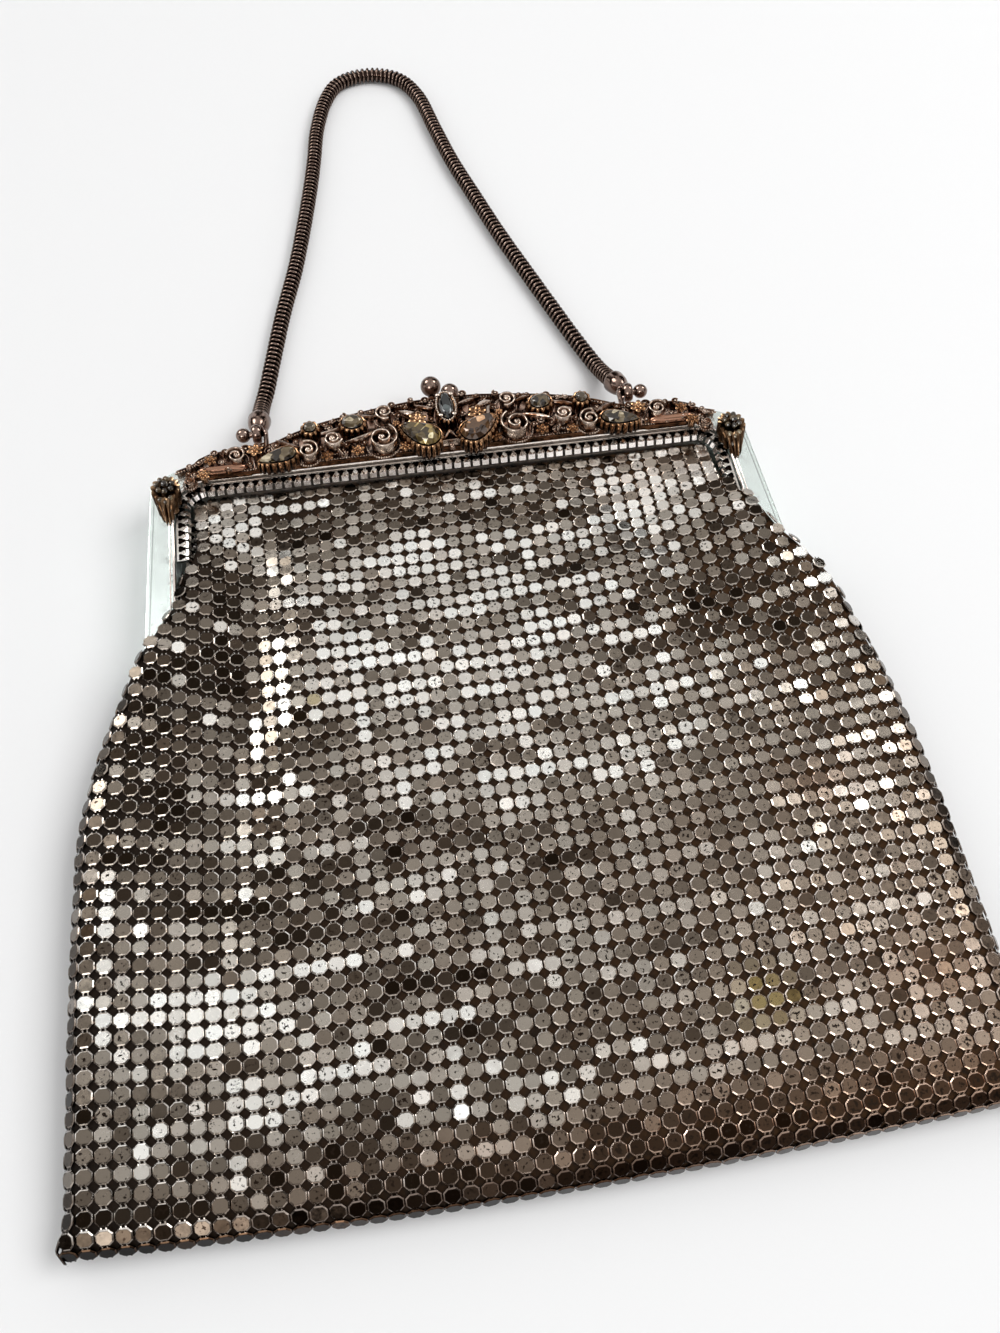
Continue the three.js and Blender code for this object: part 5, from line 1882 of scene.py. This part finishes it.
def chain_link():
    """One band of the snake chain: a ring pressed into chevrons."""
    shape = Shape()
    sides, waves = 24, 4
    rings = []
    band_light = (0.0, 0.6, 1.0, 0.6, 0.0)
    for radius, shift in ((1.6, -0.52), (2.08, -0.36), (2.26, 0.0), (2.06, 0.36), (1.56, 0.5)):
        ring = []
        for i in range(sides):
            angle = 2 * math.pi * i / sides + math.pi / 8
            phase = (waves * i / sides) % 1
            wave = 0.1 * (1 - 4 * abs(phase - 0.5))
            ring.append((shift + wave, radius * math.cos(angle), radius * math.sin(angle)))
        rings.append(ring)
    shape.rings(rings, ends=(False, False))
    made = shape.object("chain_link", None, smooth=True, closed=False)
    # Painted light: each band lit on its crest and shaded towards its grooves.
    store(made.data, "lit", np.repeat(band_light, sides))
    return made


def make_chain():
    ends = []
    for side in (-1, 1):
        stud, along = cap_line(side)
        ends.append(stud + along * (CAP_LENGTH * 0.62))
    route = [ends[0], *CHAIN_ROUTE, ends[1]]
    steps = smooth_route(route, CHAIN_PITCH)
    unit = chain_link()
    spots = [tuple(s) for s, _ in steps]
    turns = []
    for _, way in steps:
        across = Vector((0, 0, 1)).cross(way)
        turns.append(turn_of(way, way.cross(across)))
    links = repeat("snake_chain_links", unit, spots, turns, CHAIN_RINGS, size_spread=0.01, seed=8)
    drop(unit)
    core = Shape()
    rings = []
    for spot, way in steps[::2]:
        across = Vector((0, 0, 1)).cross(way).normalized()
        lift = way.cross(across)
        rings.append([spot + (across * math.cos(a) + lift * math.sin(a)) * CORE_RADIUS for a in circle(8)])
    core.rings(rings)
    inner = mark_crests(core.object("snake_chain_core", CHAIN_METAL))
    for made in (links, inner):
        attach(made, BODY)
    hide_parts("snake_chain")

    for side in (-1, 1):
        label = "left" if side < 0 else "right"
        stud, along = cap_line(side)
        shape = Shape()
        ring = []
        for i in range(28):
            a = 2 * math.pi * i / 28
            ring.append([
                stud + Vector(
                    (0, math.cos(a), math.sin(a))
                ) * (1.95 + 0.62 * math.cos(b)) + Vector((1.15 * math.sin(b), 0, 0))
                for b in circle(10)
            ])
        ring.append(ring[0])
        shape.rings(ring, ends=(False, False))
        profile = [
            (1.0, 2.3),
            (1.5, 2.6),
            (1.55, 3.0),
            (1.2, 3.3),
            (1.75, 3.9),
            (2.5, 5.0),
            (2.85, 6.4),
            (3.0, 8.2),
            (3.05, 8.7),
            (2.85, 9.0),
            (2.5, 9.0)
        ]
        shape.lathe(profile, stud, along, 24)
        made = mark_crests(smooth_by_angle(shape.object(f"chain_cap_{label}", CHAIN_METAL), ROUND_CREASE))
        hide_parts(f"chain_end_{label}")
        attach(made, BODY)

        post = Shape()
        lug_x = side * (POST_X - 1.3 - CLEARANCE - 0.6)
        knob_x = side * (POST_X + 1.3 + CLEARANCE + 1.9)
        foot_x = side * (POST_X - 0.2)
        post.lathe([(2.3, 0), (2.3, 0.6), (1.6, 1.0)], (foot_x, POST_FOOT_Y, STUD_Z - 0.8), (0, 1, 0), 20)
        post.lathe([(0.75, 0.6), (0.62, STUD_Y - POST_FOOT_Y)], (lug_x, POST_FOOT_Y, STUD_Z), (0, 1, 0), 14)
        post.lathe(
            [(0.6, -0.6), (1.05, -0.3), (1.05, 0.3), (0.85, 0.5), (0.85, abs(knob_x - lug_x))],
            (lug_x, STUD_Y, STUD_Z), (side, 0, 0), 16
        )
        profile = []
        for i in range(13):
            angle = -math.pi / 2 + math.pi * max(0.03, min(0.97, i / 12))
            profile.append((1.88 * math.cos(angle), 1.88 * math.sin(angle)))
        post.lathe(profile, (knob_x, STUD_Y, STUD_Z), (side, 0, 0), 22)
        made = mark_crests(smooth_by_angle(post.object(f"chain_stud_{label}", CLASP_METAL), ROUND_CREASE))
        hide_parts(f"chain_post_{label}")
        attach(made, BODY)


set_camera()
set_room()
make_chain()
make_frame()
make_strips()
make_ornament()
make_clasp()
make_pouch()
make_lining()
